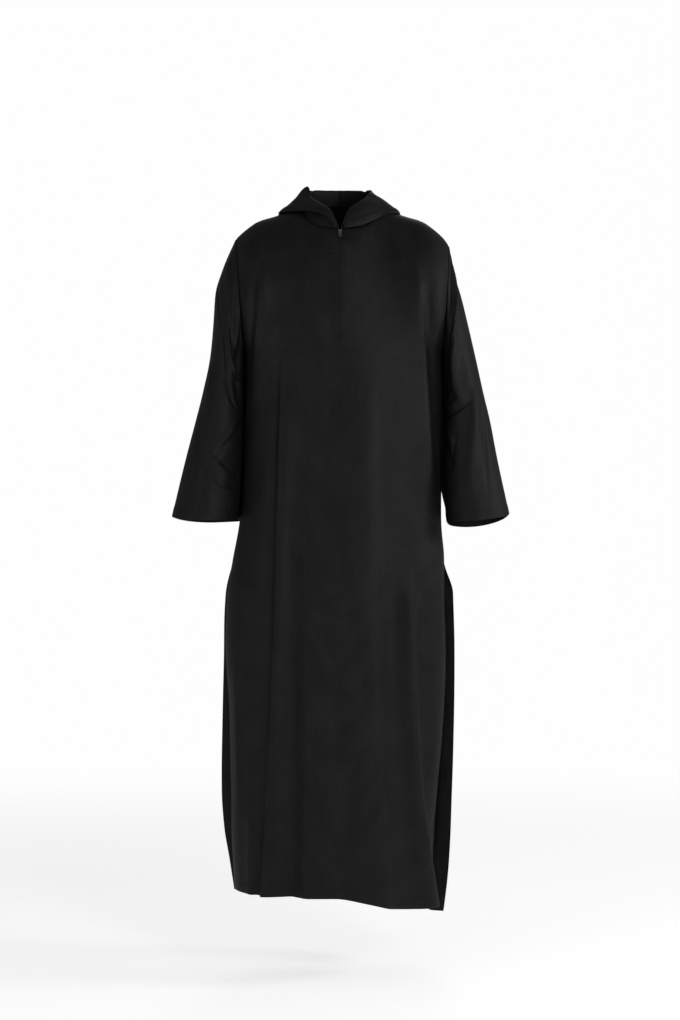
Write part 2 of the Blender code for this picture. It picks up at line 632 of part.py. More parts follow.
def panel(collection, name, facing):
    """The front (facing -1), slit for the zip, or the back (facing 1)."""
    columns, rows = panel_columns(), panel_rows()
    bm, i, j = sheet(columns, rows, lambda u, v: panel_point(u, v, facing))
    if facing < 0:
        last = len(zip_rows()) - 1
        middle = len(columns) // 2
        slit = [
            face
            for face in bm.faces
            if all(i[v.index] in (middle - 1, middle) and j[v.index] <= last for v in face.verts)
        ]
        bmesh.ops.delete(bm, geom=slit, context="FACES")
    face_outward(bm, 0)
    obj = keep(collection, name, bm, cloth_material(name))
    thicken(obj, WALL, -1)
    return obj


def sleeve(collection, name, rows, creases, sign):
    turns = np.linspace(0, 2 * math.pi, SLEEVE_ROUND + 1)
    shares = np.linspace(0, 1, SLEEVE_ROWS + 1) ** SLEEVE_CROWD
    bm, _, _ = sheet(turns, shares, lambda a, b: sleeve_point(rows, creases, sign, a, b))
    bmesh.ops.remove_doubles(bm, verts=bm.verts[:], dist=WELD)
    face_outward(bm, sign * (rows[-1].outer + rows[-1].inner) / 2)
    thicken(keep(collection, name, bm, cloth_material(name)), WALL, -1)


def rest_on(bm, panels, gaps):
    """Moves a sheet's points off the outer side of the panels that it lies on."""
    for obj in panels:
        outer = bmesh.new()
        outer.from_mesh(obj.data)
        tree = BVHTree.FromBMesh(outer)
        outer.free()
        for vertex, gap in zip(bm.verts, gaps):
            place, normal, _, away = tree.find_nearest(vertex.co)
            depth = (vertex.co - place).dot(normal)
            if depth < gap and away < REST_REACH:
                vertex.co += normal * (gap - depth)


def hood(collection, name, rows, sign, panels):
    """Half of the hood, from the zip to the centre back seam."""
    columns = half_columns()[: NECK_STEPS + 2]
    quarter = neck_turn(columns / NECK_COLUMNS)
    angles = np.concatenate([quarter, math.pi - quarter[-2:0:-1], [math.pi]])
    rises = np.linspace(0, 1, HOOD_ROWS + 1)
    bm, _, row = sheet(angles, rises, lambda a, b: hood_point(rows, sign, a, b))
    rest_on(bm, panels, WALL / 2 + np.where(row == 0, SEAM_GAP, LAP_GAP))
    bmesh.ops.recalc_face_normals(bm, faces=bm.faces[:])
    thicken(keep(collection, name, bm, cloth_material(name)), WALL, 0)


def zip_tape(collection):
    """The tape follows the front panel's own points, moved in past its wall."""
    slit, edge = half_columns()[:2]
    rows = zip_rows()
    rows = np.append(rows, rows[-1] + TAPE_BEYOND / CHEST_RUN)
    bm, _, _ = sheet([-edge, -slit, slit, edge], rows, lambda u, v: panel_point(u, v, -1))
    face_outward(bm, 0)
    bm.normal_update()
    for vertex in bm.verts:
        vertex.co -= vertex.normal * (WALL + SEAM_GAP)
    tape = material("zip_tape", (0.012, 0.012, 0.013), 0.7, 0.0)
    thicken(keep(collection, "zip_tape", bm, tape), TAPE_WALL, -1)


def zip_frame():
    """Where the slider stands on the front's centre line, and how far it leans back."""
    drops = SLIDER_BELOW_NECK + SLIDER_LONG / 2 * np.array([-1, 0, 1])
    quarter = np.arccos(1 - drops / (NECKLINE[0].height - UNDERARM))
    top, place, bottom = panel_point(0.0, quarter / (math.pi / 2), -1)
    return Vector(place), math.atan2(top[1] - bottom[1], top[2] - bottom[2])


def block(size, centre, bevel):
    """A box, with rounded edges where bevel isn't 0."""
    bm = bmesh.new()
    bmesh.ops.create_cube(bm, size=1)
    bmesh.ops.scale(bm, vec=size, verts=bm.verts[:])
    if bevel:
        bmesh.ops.bevel(
            bm, geom=bm.edges[:], offset=bevel, segments=2, profile=0.5, affect="EDGES",
            material=-1,
        )
    bmesh.ops.translate(bm, vec=centre, verts=bm.verts[:])
    return bm


def rod(radius, length, centre):
    """A rod across the zip."""
    bm = bmesh.new()
    bmesh.ops.create_cone(
        bm, cap_ends=True, segments=ROUND_SIDES, radius1=radius, radius2=radius, depth=length
    )
    bmesh.ops.rotate(bm, matrix=Matrix.Rotation(math.pi / 2, 3, "Y"), verts=bm.verts[:])
    bmesh.ops.translate(bm, vec=centre, verts=bm.verts[:])
    return bm


def combine(obj, tools, name, bm, operation):
    """Joins a shape to the object, or cuts it away."""
    mesh = bpy.data.meshes.new(name)
    bm.to_mesh(mesh)
    bm.free()
    tool = bpy.data.objects.new(name, mesh)
    tools.objects.link(tool)
    tool.hide_render = True
    tool.display_type = "WIRE"
    tool.location, tool.rotation_euler = obj.location, obj.rotation_euler
    boolean = obj.modifiers.new(name, "BOOLEAN")
    boolean.object = tool
    boolean.operation = operation
    boolean.solver = "EXACT"


def zip_slider(collection, tools):
    """The slider's body, with the two lugs and the bar that carry the pull."""
    place, lean = zip_frame()
    metal = material("zip_slider", (0.42, 0.42, 0.43), 0.3, 1.0)
    front = -(SLIDER_LIFT + SLIDER_THICK)
    size = (SLIDER_WIDE, SLIDER_THICK, SLIDER_LONG)
    bm = block(size, (0, -(SLIDER_LIFT + SLIDER_THICK / 2), 0), SLIDER_THICK / 4)
    slider = keep(collection, "zip_slider", bm, metal)
    slider.location, slider.rotation_euler = place, (-lean, 0, 0)
    lug_x = (LUG_APART + LUG_WIDE) / 2
    lug_depth = LUG_REACH + SLIDER_THICK / 2
    lug_y = front + SLIDER_THICK / 2 - lug_depth / 2
    for side, sign in (("left", 1), ("right", -1)):
        lug = block((LUG_WIDE, lug_depth, LUG_LONG), (sign * lug_x, lug_y, BAR_ALONG), 0)
        combine(slider, tools, f"lug_{side}", lug, "UNION")
    bar = rod(BAR_RADIUS, LUG_APART + LUG_WIDE, (0, bar_depth(), BAR_ALONG))
    combine(slider, tools, "bar", bar, "UNION")
    return slider


def bar_depth():
    """Where the pull's bar stands before the slider's own origin."""
    return -(SLIDER_LIFT + SLIDER_THICK + LUG_REACH - BAR_RADIUS - EYE_WALL / 2)


def zip_pull(collection, tools, slider):
    """The pull's origin is on the bar that it swings on."""
    metal = material("zip_pull", (0.10, 0.10, 0.105), 0.35, 1.0)
    outer = EYE_RADIUS + EYE_WALL
    tab_long = PULL_LONG - PULL_NECK
    centre = (0, 0, -PULL_NECK - tab_long / 2)
    bm = block((PULL_WIDE, PULL_THICK, tab_long), centre, PULL_THICK / 4)
    pull = keep(collection, "zip_pull", bm, metal)
    turn = slider.rotation_euler.to_matrix()
    pull.location = slider.location + turn @ Vector((0, bar_depth(), BAR_ALONG))
    pull.rotation_euler = (slider.rotation_euler.x + PULL_TILT, 0, 0)
    wide = LUG_APART - 2 * SEAM_GAP
    neck_long = PULL_NECK - EYE_RADIUS
    neck = block((wide, PULL_THICK, neck_long), (0, 0, -EYE_RADIUS - neck_long / 2), 0)
    combine(pull, tools, "neck", neck, "UNION")
    combine(pull, tools, "eye", rod(outer, wide, (0, 0, 0)), "UNION")
    combine(pull, tools, "eye_hole", rod(EYE_RADIUS, 2 * wide, (0, 0, 0)), "DIFFERENCE")


def main():
    for obj in list(bpy.data.objects):
        bpy.data.objects.remove(obj, do_unlink=True)
    collection = bpy.data.collections.new(COLLECTION)
    bpy.context.scene.collection.children.link(collection)
    panels = [panel(collection, "front", -1), panel(collection, "back", 1)]
    sleeve(collection, "sleeve_right", SLEEVE_RIGHT, RIGHT_CREASES, -1)
    sleeve(collection, "sleeve_left", SLEEVE_LEFT, LEFT_CREASES, 1)
    hood(collection, "hood_right", HOOD_RIGHT, -1, panels)
    hood(collection, "hood_left", HOOD_LEFT, 1, panels)
    zip_tape(collection)
    tools = bpy.data.collections.new("cutters")
    bpy.context.scene.collection.children.link(tools)
    slider = zip_slider(collection, tools)
    zip_pull(collection, tools, slider)


main()
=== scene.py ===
"""Dresses a hooded djellaba robe: its fine cloth, sewing and zip, and a plain studio.

Metres, +Z up. The front faces -Y and the wearer's left is +X. Each cloth piece is one fine
sheet on its solid's own form, with its creases, hems and seams worked into it and a thin wall.
"""

import json
import math
from collections import namedtuple

import bmesh
import bpy
import numpy as np
from mathutils import Matrix, Vector
from mathutils.bvhtree import BVHTree


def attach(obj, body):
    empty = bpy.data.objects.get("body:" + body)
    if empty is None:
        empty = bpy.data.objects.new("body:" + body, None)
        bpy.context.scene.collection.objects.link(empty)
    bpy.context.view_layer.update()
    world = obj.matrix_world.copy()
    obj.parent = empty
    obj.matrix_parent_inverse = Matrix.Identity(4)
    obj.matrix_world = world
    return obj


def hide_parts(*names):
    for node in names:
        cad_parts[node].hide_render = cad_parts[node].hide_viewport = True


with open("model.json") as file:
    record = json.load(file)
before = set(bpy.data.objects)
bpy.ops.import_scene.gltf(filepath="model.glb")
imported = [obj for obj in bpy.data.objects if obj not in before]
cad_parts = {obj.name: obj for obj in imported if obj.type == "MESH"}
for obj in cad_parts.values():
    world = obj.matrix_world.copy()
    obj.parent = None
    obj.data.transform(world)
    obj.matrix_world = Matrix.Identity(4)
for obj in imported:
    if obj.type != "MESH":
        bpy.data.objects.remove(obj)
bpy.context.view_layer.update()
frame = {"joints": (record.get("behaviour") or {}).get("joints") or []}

bl_info = {
    "name": "Djellaba robe",
    "version": (1, 0, 0),
    "blender": (4, 5, 0),
    "location": "3D View > Sidebar > Robe",
    "description": "Makes a hooded djellaba robe's cloth, sewing, zip and studio",
    "category": "Object",
}

BODY = "robe"
PULL_BODY = "zip_pull"
PULL_BAR = Vector(frame["joints"][0]["pos_m"])

# ---------------------------------------------------------------- the robe's cut and form

SEAM_GAP = 0.0003      # between pieces that are sewn together
SEAM_LAP = 0.0001      # how far each panel crosses the side, so that no light shows through
SHELL = 0.0016         # the solids' wall; the hood's seam stands half of it above the neckline
LAP_GAP = 0.0014       # under cloth that lies on other cloth
SLEEVE_REACH = 0.030   # how far a sleeve may be moved off the body's side
HOOD_REACH = 0.010     # how far the hood may be moved off the shoulders
SHOULDER_CLEAR = 0.0010
UNDERARM_CLEAR = 0.0005

UNDERARM = -0.290      # height of the underarm points
HEM_LEVEL = -1.40
HALF_GIRTH = 0.295     # half of a panel's width at the chest, along the cloth
CHEST_HALF = 0.21
CHEST_DEPTH = 0.14
SECTION_POWER = 2.4    # 2 is an ellipse, more is squarer
NECK_COLUMNS = 0.32    # share of a panel's half width that hangs from the neckline
NECK_CROWD = 1.15
ARMHOLE_REACH = 0.75
SLIT_HALF = 0.0015     # half of the zip slit's width
TAPE_HALF = 0.0140
ZIP_BOTTOM = -0.270    # height of the slit's lower end
TAPE_BEYOND = 0.012
SLEEVE_LONG = 0.55
SLEEVE_RADIUS = 0.065
HOOD_SEAM_HALF = 0.00005  # from the hood's middle plane to each half's sewn edge
HOOD_ROUND = 0.115     # a typical radius and run of the hood, which place its creases
HOOD_RUN = 0.34
TUCK_ANGLE = 223       # round the sleeve, in degrees: 0 outside, 90 front, 180 inside
TUCK_SPREAD = 18

# Shares over which folds, creases and clearances fade in and out.
FOLD_TOP_FADE = 0.22
FOLD_BOTTOM_FADE = 0.30
SIDE_SEAM_FADE = 0.12
SHOULDER_FADE = 0.25
SLIT_FADE_FROM = 1.42
SLIT_FADE = 0.10
ARMHOLE_FADE = 0.12
CLEAR_FADE = 0.05
CREASE_END = 0.35
DENT_END = 0.02
ROLL_SHARE = 0.55
STEP = 1e-3            # between the points that a normal is worked out from
NO_LENGTH = 1e-12
SAME_PLACE = 1e-6
LEAST_WEIGHT = 0.01    # cloth that is doubled less than this keeps its plain wall


def table(columns, text):
    """Rows of numbers that are named for their columns, a row to a line."""
    Row = namedtuple("Row", columns)
    return [Row(*map(float, line.split())) for line in text.strip().splitlines()]


# The body's sections: half widths of the front and back panels on the wearer's right and
# left, their depths, and how far each side edge stands before (-) or behind (+) the side.
SECTIONS = table(
    "height front_right front_left back_right back_left front back front_edge back_edge", """
-.29 .1935 .2095 .1935 .2095 .137 .122 0 0
-.4 .194 .2095 .194 .2095 .139 .119 0 0
-.55 .2 .2085 .2 .2085 .141 .124 0 0
-.63 .206 .208 .206 .208 .143 .131 0 0
-.71 .22 .214 .22 .214 .145 .138 0 0
-.78 .231 .2135 .2355 .2335 .147 .141 -.01 .003
-.9 .234 .216 .2405 .236 .15 .145 -.016 .006
-1 .228 .2135 .2435 .2352 .151 .147 -.018 .007
-1.1 .226 .2085 .2445 .233 .152 .149 -.018 .007
-1.19 .2245 .201 .244 .2305 .152 .151 -.018 .006
-1.26 .2235 .193 .24 .2285 .151 .152 -.018 .005
-1.33 .2195 .1905 .229 .2245 .15 .153 -.017 .005
-1.45 .2085 .189 .208 .211 .148 .155 -.016 .005
""")

# The hem's height across the front and the back.
HEM = table("across front back", """
-.22 -1.38 -1.39
-.1 -1.3785 -1.392
-.01 -1.378 -1.396
.06 -1.3905 -1.404
.12 -1.405 -1.418
.22 -1.4135 -1.435
""")

# The neckline round the neck, by angle from the front.
NECKLINE = table("angle radius height", """
0 .098 -.042
25 .095 -.036
50 .087 -.019
72 .081 .002
90 .078 .015
120 .075 .021
150 .072 .024
180 .071 .025
""")

# The shoulder seam's height outward from the neck.
SHOULDER = table("across height", """
.078 .015
.1 .0075
.136 -.005
.157 -.011
.171 -.0168
.185 -.0262
.2 -.0378
.213 -.05
.224 -.065
""")

# Sleeve sections from the armhole to the cuff: an oval through an outer and an inner point,
# reaching before and behind its middle, dropping there, and tucked in behind the body's side.
RING = "along outer outer_height inner inner_height middle front back front_drop back_drop tuck"
SLEEVE_RIGHT = table(RING, """
0 .213 -.05 .1935 -.29 0 .085 .088 0 0 0
.07 .226 -.076 .1948 -.297 0 .084 .087 0 0 .005
.16 .242 -.115 .1949 -.312 0 .082 .086 0 0 .01
.27 .2565 -.165 .195 -.334 0 .079 .083 0 0 .012
.37 .2605 -.225 .1951 -.36 -.002 .075 .08 0 0 .013
.48 .2665 -.29 .1953 -.392 -.004 .072 .077 .001 .001 .013
.6 .281 -.363 .1964 -.432 -.008 .071 .075 .002 .003 .014
.72 .2975 -.43 .1986 -.48 -.013 .072 .074 .003 .006 .015
.84 .316 -.502 .2012 -.54 -.018 .074 .074 .005 .009 .019
1 .344 -.62 .207 -.622 -.024 .077 .075 .008 .013 .023
""")
SLEEVE_LEFT = table(RING, """
0 .223 -.064 .2095 -.29 0 .085 .088 0 0 0
.07 .2285 -.085 .2107 -.297 0 .084 .087 0 0 .005
.16 .236 -.125 .2108 -.312 0 .082 .086 0 0 .01
.27 .25 -.172 .2108 -.334 0 .079 .083 0 0 .012
.37 .264 -.23 .2108 -.36 -.002 .075 .08 0 0 .013
.48 .28 -.3 .2108 -.392 -.004 .072 .077 .001 .001 .013
.6 .2945 -.367 .2108 -.432 -.008 .071 .075 .002 .003 .014
.72 .308 -.425 .2108 -.48 -.013 .072 .074 .003 .006 .016
.84 .322 -.5 .2112 -.54 -.018 .074 .074 .005 .01 .018
1 .3465 -.615 .218 -.628 -.024 .077 .075 .007 .021 .004
""")

# The hood folded down, by angle round the neck from the zip to the centre back: the line it
# rolls over, its lower fold and its free edge. Bulge and swell round out either side.
HOOD = "angle roll_x roll_y roll_z fold_x fold_y fold_z edge_x edge_y edge_z bulge swell"
HOOD_LEFT = table(HOOD, """
0 .004 -.099 -.034 .007 -.105 -.036 .008 -.107 -.041 .001 0
22 .0165 -.087 -.004 .031 -.097 -.019 .042 -.096 -.034 .004 .001
43 .036 -.066 .014 .057 -.074 -.001 .074 -.066 -.018 .005 .001
65 .054 -.037 .031 .082 -.04 .014 .099 -.038 -.007 .004 .001
87 .0615 -.002 .051 .106 -.004 .018 .123 -.006 .001 .001 .002
110 .0535 .035 .053 .123 .066 -.025 .124 .07 .012 .005 .006
133 .044 .053 .057 .105 .112 -.11 .09 .122 0 .016 .012
157 .023 .064 .058 .06 .133 -.195 .046 .145 -.018 .02 .017
180 0 .068 .058 0 .142 -.255 0 .156 -.028 .021 .019
""")
HOOD_RIGHT = table(HOOD, """
0 .004 -.099 -.034 .007 -.105 -.036 .008 -.107 -.041 .001 0
22 .0205 -.086 -.003 .027 -.092 -.006 .031 -.0925 -.013 .003 .001
43 .04 -.064 .014 .052 -.074 .006 .06 -.076 -.003 .004 .001
65 .059 -.035 .031 .082 -.04 .016 .094 -.042 .002 .004 .001
87 .066 -.002 .056 .106 -.004 .02 .127 -.006 .003 .001 .002
110 .0575 .035 .055 .125 .066 -.028 .124 .07 .01 .005 .006
133 .046 .053 .058 .108 .112 -.118 .094 .122 -.004 .016 .012
157 .024 .064 .058 .06 .133 -.2 .048 .145 -.02 .02 .017
180 0 .068 .058 0 .142 -.255 0 .156 -.028 .021 .019
""")

# Folds that hang down the panels: where each starts and ends, its place across at the top,
# middle and bottom, its width towards the wearer's right and left, and its height.
FOLD = "top bottom x_top x_middle x_bottom wide_right wide_left height"
FRONT_FOLDS = table(FOLD, """
-.26 -1.46 -.1135 -.127 -.156 .006 .028 .015
-.7 -1.46 .14 .148 .19 .024 .008 .02
-.09 -.62 .156 .17 .193 .03 .006 .009
-.1 -.6 .176 .187 .2 .009 .01 -.008
-.1 -.42 -.156 -.166 -.188 .007 .028 .006
-.11 -.36 -.171 -.178 -.186 .006 .007 -.004
-.24 -1.46 .06 .065 .092 .075 .018 .017
-.56 -1.46 -.06 -.06 -.064 .02 .1 .015
-.56 -1.46 -.098 -.098 -.1 .012 .012 -.004
-.03 -.22 -.139 -.139 -.138 .012 .014 -.0012
-.03 -.21 .118 .119 .12 .014 .012 .0012
-1.18 -1.46 -.178 -.176 -.174 .012 .005 .006
-.72 -1.27 .174 .179 .18 .018 .02 -.015
""")
BACK_FOLDS = table(FOLD, """
-.18 -1.48 -.128 -.138 -.15 .022 .013 .011
-.3 -1.48 -.052 -.056 -.048 .022 .024 -.008
-.28 -1.48 .022 .018 .026 .022 .03 .009
-.34 -1.48 .085 .092 .09 .022 .02 -.008
-.16 -1.48 .14 .145 .156 .014 .024 .011
""")

# Creases: from one place across and down to another, half width and height. On sleeves and
# hood the places are degrees round and shares of the run, and round a sleeve 0 is the outer
# line, 90 the front and 180 the inner line.
CREASE = "from_across from_down to_across to_down width height"
RIGHT_CREASES = table(CREASE, """
26 .23 62 .31 .007 -.004
62 .31 88 .49 .008 -.006
88 .49 123 .55 .008 -.006
81 .2 101 .36 .007 .006
101 .36 138 .39 .007 .004
134 .09 128 .5 .012 -.009
100 .06 106 .2 .004 -.0026
112 .05 118 .24 .005 .0034
30 .05 68 .2 .008 .004
54 .08 84 .17 .004 -.0024
136 .62 97 .77 .008 .0055
168 .56 124 .69 .007 -.006
124 .69 92 .79 .007 -.005
95 .82 145 .76 .006 -.004
86 .8 122 .84 .006 .0034
80 .84 111 .88 .005 -.003
111 .88 153 .88 .005 -.003
36 .52 70 .88 .005 .0036
250 .15 228 .7 .016 -.008
300 .22 285 .8 .016 .006
320 .52 262 .62 .01 -.004
252 .76 312 .8 .009 -.004
""")
LEFT_CREASES = table(CREASE, """
14 .05 52 .08 .006 -.005
52 .08 88 .15 .006 -.005
38 .1 92 .24 .011 .011
92 .24 108 .46 .014 .015
108 .46 96 .56 .01 .009
132 .1 150 .46 .009 -.008
80 .59 152 .57 .006 -.006
86 .55 138 .53 .006 .003
62 .58 95 .88 .014 .009
172 .63 137 .8 .008 -.0055
150 .62 126 .74 .006 .0034
120 .69 137 .8 .005 -.003
40 .62 66 .92 .007 -.0036
248 .14 226 .72 .016 -.008
300 .2 288 .82 .016 .006
316 .5 264 .6 .01 -.004
256 .78 310 .81 .009 -.004
""")
HOOD_CREASES = table(CREASE, """
30 .16 58 .34 .008 -.0015
74 .22 96 .52 .012 -.003
100 .2 128 .6 .014 .004
122 .18 142 .52 .011 -.004
150 .3 164 .6 .014 .0035
112 .66 148 .8 .014 -.0035
150 .74 176 .86 .012 .003
""")

# On the panels the places are metres across and heights.
FRONT_DENTS = table(CREASE, """
-.072 -.025 -.044 -.047 .0035 -.0022
.05 -.056 .051 -.086 .005 -.0016
-.06 -.07 -.066 -.15 .011 .0018
.149 -.07 .156 -.15 .008 .001
-.15 -.08 -.15 -.23 .007 .0012
-.177 -.09 -.178 -.25 .006 .0012
.025 -.34 .024 -.68 .02 -.0016
-.048 -.42 -.042 -.76 .024 .0016
.136 -.77 .15 -.83 .02 .003
-.196 -.98 -.192 -1.26 .012 -.003
-.211 -.86 -.208 -1.22 .006 .0026
.024 -1.08 .026 -1.37 .02 -.0022
.13 -1.02 .138 -1.36 .014 -.0022
""")
BACK_DENTS = table(CREASE, """
-.15 -.06 -.13 -.21 .012 -.003
.152 -.07 .136 -.2 .012 -.003
-.178 -.26 -.17 -.52 .01 .003
.186 -.3 .178 -.56 .01 .003
-.095 -.52 -.099 -.98 .018 -.002
.056 -.64 .058 -1.2 .016 -.0022
-.19 -.96 -.188 -1.34 .014 -.0034
.188 -.92 .19 -1.36 .014 -.0034
-.012 -1.04 -.014 -1.38 .016 -.0024
""")

# Slow, uneven waves of hanging cloth: spacing across, sway down, sway's spacing, height.
WAVES = table("spacing sway sway_spacing start height", """
.074 .3 .9 .4 .0006
.047 .45 .62 2.1 .00035
.131 .25 1.3 4.4 .0008
""")
WAVES_BELOW = 0.05     # from the neck's base down to where the waves set in, and their growth
WAVES_GROW = 0.5

# The sewing's own sizes.
FOLD_EDGE = 0.0014     # over which a hem's doubled cloth steps down
STITCH_INSET = 0.0022  # from a hem's upper edge to its stitches
HEM_RISE = 0.00045     # how far doubled cloth stands out
STITCH_SINK = 0.00050  # how far stitches draw the cloth in
STITCH_SPREAD = 0.0011
EDGE_ROLL = 0.0005
SEAM_SINK = 0.0008     # how far a seam draws the cloth in
SEAM_SPREAD = 0.0020
UNDERARM_EASES = 0.06  # where the seams lie flat beside the underarm, down and round it
UNDERARM_TURN = 35.0
UNDERARM_FADE = 0.03   # below the underarm, over which the sleeve comes to lie on the side
PUCKER_SPREAD = 0.0075
PUCKER_SPACING = 0.0105
PUCKER = 0.00030
PUCKER_WANDERS = ((0.9, 0.043, 0.0), (0.7, 0.0171, 1.0))  # how puckers stray: far, run, start
PUCKER_SWELL = 0.35    # share by which puckers grow and shrink, over a run and from a start
PUCKER_SWELL_RUN = 0.061
PUCKER_SWELL_START = 2.0
PLACKET_REACH = 0.0160  # from the slit to the placket's stitches
PLACKET_RISE = 0.0006
PLACKET_END = -0.2480   # height of its lower end
LIP_CREST = 0.0060     # the lip that lies over the zip: where it crests, widths and height
LIP_WIDE_RIGHT = 0.0140
LIP_WIDE_LEFT = 0.0300
LIP_RISE = 0.0028
LIPS_MEET = -0.057     # height below which the slider has closed the lips
LIP_OPENS = 0.014
LIP_GAP = 0.0006
LIP_DRAWS = 0.006      # how far beside the slit the cloth gives

# The back's slit edges: how far they turn from facing forward on the wearer's right and
# left, and where that fades into the back.
FLARE_RIGHT = math.radians(-9)
FLARE_LEFT = math.radians(16)
FLARE_WIDE = 0.022
FLARE_ENDS = 0.070
FLARE_FROM = 1.355
FLARE_FADE = 0.060

# Where the panels' form is evened out, and how often: below the armholes, beside the neck.
SIDE_HOLDS = 0.06
CHEST_EASES = 0.16
CHEST_TIMES = 120
NECK_EASES = 0.09
NECK_HOLDS = 0.05
NECK_TIMES = 60

# Short rows of stitches across the front below the zip: height, and ends across.
TACKS = (
    (PLACKET_END + STITCH_INSET, -0.0160, 0.0160),
    (PLACKET_END - 0.0030, -0.0280, 0.0100),
    (-0.2890, -0.0200, 0.0020),
    (-0.2902, -0.0200, 0.0020),
    (-0.2914, -0.0190, 0.0010),
)

# Columns and rows of each piece's grid, and where they stand closer: at which share, over
# how wide a share, and how much closer. A panel's columns are those from the slit to one side.
PANEL_COLUMNS = 83, ((1, 0.03, 3.0), (0.0, 0.03, 5.0), (0.47, 0.09, 1.0), (0.78, 0.06, 0.8))
PANEL_ROWS = 270, ((0, 0.012, 2.0), (1, 0.010, 3.0), (0.5, 0.30, 0.25))
SLEEVE_COLUMNS = 144
SLEEVE_ROWS = 190, ((0, 0.03, 2.0), (1, 0.03, 3.0))
HOOD_COLUMNS = 124, ((0, 0.06, 1.0), (1, 0.03, 2.0))
HOOD_ROWS = 124, ((0, 0.03, 2.0), (0.30, 0.10, 1.0), (1, 0.05, 3.0))
TAPE_COLUMNS = 24
TAPE_ROWS = 120
SHARE_SAMPLES = 4001
SECTION_SAMPLES = 721
COIL_SAMPLES = 200

HOOD_SEAM_FADE = 0.03
HOOD_TIP_FADE = 14.0   # degrees from the zip, over which the hood's edge opens up
HOOD_LIES = 0.35       # share of the hood's run beyond which it comes to lie on the panels
HOOD_OUTSIDE = 0.6     # share of the run whose outer side faces away from the neck

# A stitch in shares of its length and thickness: its middle's half length, where its ends
# begin, and how thick and how deep the ends are.
STITCH_SIDES = 6
STITCH_MIDDLE = 0.34
STITCH_ENDS = 0.4
STITCH_END_THICK = 0.45
STITCH_END_DEEP = 0.35
STITCH_LIFT = 0.0001

COIL_TOP = 0.0025      # below the neckline
COIL_DEPTH = 0.0017    # below the cloth's outer side
COIL_SLANT = math.radians(5)
COIL_SIDES = 8
COIL_ROUND = 0.3       # share of the filament's thickness that its ends are rounded by
COIL_AHEAD = 0.002     # how far down the zip its direction is read
COIL_ENDS = 1e-5       # with less than this ahead, the coil keeps its direction

SLIDER_WIDE = 0.0080
SLIDER_TAPER = 0.72
SLIDER_NECK = 0.0022
SLIDER_NECK_DEEP = 1.6  # the neck's depth and length in shares of the slider's
SLIDER_NECK_LONG = 0.6
SLIDER_LONG = 0.0100
SLIDER_THICK = 0.0022
SLIDER_BELOW_NECK = 0.0080
SLIDER_LIFT = 0.0006
LUG_WIDE = 0.0012
LUG_APART = 0.0042
LUG_REACH = 0.0037
LUG_LONG = 0.0026
BAR_ALONG = -0.0010
BAR_RADIUS = 0.0007
ROD_SIDES = 24
EYE_RADIUS = 0.0010
EYE_WALL = 0.0009
EYE_OVERLAP = 0.6      # share of the eye's radius below which the pull's neck starts
PULL_NECK = 0.0026
PULL_LONG = 0.0130
PULL_WIDE = 0.0062
PULL_THICK = 0.0012
PULL_TILT = math.radians(12)
PULL_SIDES = 40
PULL_POWER = 3.4       # how square the tab and its slot are: 2 is an ellipse
SLOT_POWER = 2.6
SLOT_WIDE = 0.22       # the slot's half width, half length and drop in shares of the tab's size
SLOT_LONG = 0.20
SLOT_DROP = 0.62
SLIDER_ROUND = SLIDER_THICK / 3  # how far the metal's edges are rounded
NECK_ROUND = SLIDER_NECK / 5
LUG_ROUND = LUG_WIDE / 4
PULL_ROUND = PULL_THICK / 5
BLOCK_SEGMENTS = 3
RIM_SEGMENTS = 2
SHARP = 1.0            # edges that turn by more than this, in radians, are rounded

# The studio's lights, each with its setting's power: size, place, height aimed at, colour.
LAMPS = (
    ("key", 0.8, (1.2, -2.4, -0.20), -0.42, "#fffcfa"),
    ("fill", 1.4, (-2.0, -1.9, -0.25), -0.42, "#fafcff"),
    ("side", 0.8, (2.80, -0.30, 0.30), -0.30, "#fffcfa"),
    ("back", 1.6, (0.3, 3.2, 1.8), -0.60, "#ffffff"),
)
SENSOR = 36.0          # the camera's sensor, in millimetres
FLOOR_RADIUS = 12.0
FLOOR_SIDES = 96
FLOOR_FADES = 1.1, 3.4  # from the robe, where the floor turns into the backdrop

# What a cutter lays flat for each piece: widest across, longest down, and the area.
Cut = namedtuple("Cut", "width length area")


# ---------------------------------------------------------------- settings

def length(name, description, default):
    return bpy.props.FloatProperty(
        name=name, description=description, default=default, unit="LENGTH", precision=5, min=0
    )


def number(name, description, default):
    return bpy.props.FloatProperty(name=name, description=description, default=default, min=0)


def hexed(name, description, default):
    return bpy.props.StringProperty(name=name, description=description, default=default)


class RobeClothSettings(bpy.types.PropertyGroup):
    """Sizes and colours of the cloth and its sewing."""

    wall: length("Cloth", "Thickness of plain cloth", 0.0011)
    hem_wall: length("Hem", "Thickness of doubled cloth", 0.0019)
    skirt_hem: length("Skirt hem", "Depth of the hem at the feet", 0.0200)
    cuff_hem: length("Cuff hem", "Depth of the hem at the cuffs", 0.0200)
    slit_hem: length("Slit hem", "Depth of the hem along the side slits", 0.0140)
    hood_hem: length("Hood hem", "Depth of the hem round the face opening", 0.0180)
    stitch_pitch: length("Stitch pitch", "From one stitch to the next", 0.0032)
    stitch_long: length("Stitch", "Length of thread that shows", 0.0025)
    thread: length("Thread", "Thickness of the thread", 0.00045)
    # colour is painted shade in the twill's hollows and lit_colour is painted lustre on its
    # raised ribs and slubs; worn places and uneven threads also vary the tone at random.
    colour: hexed("Cloth colour", "Colour of the twill's valleys, as sRGB hex", "#0e0e0e")
    lit_colour: hexed("Cloth lustre", "Colour of the twill's ribs, as sRGB hex", "#1e1d1d")
    thread_colour: hexed("Thread colour", "Colour of the sewing thread", "#0c0c0c")


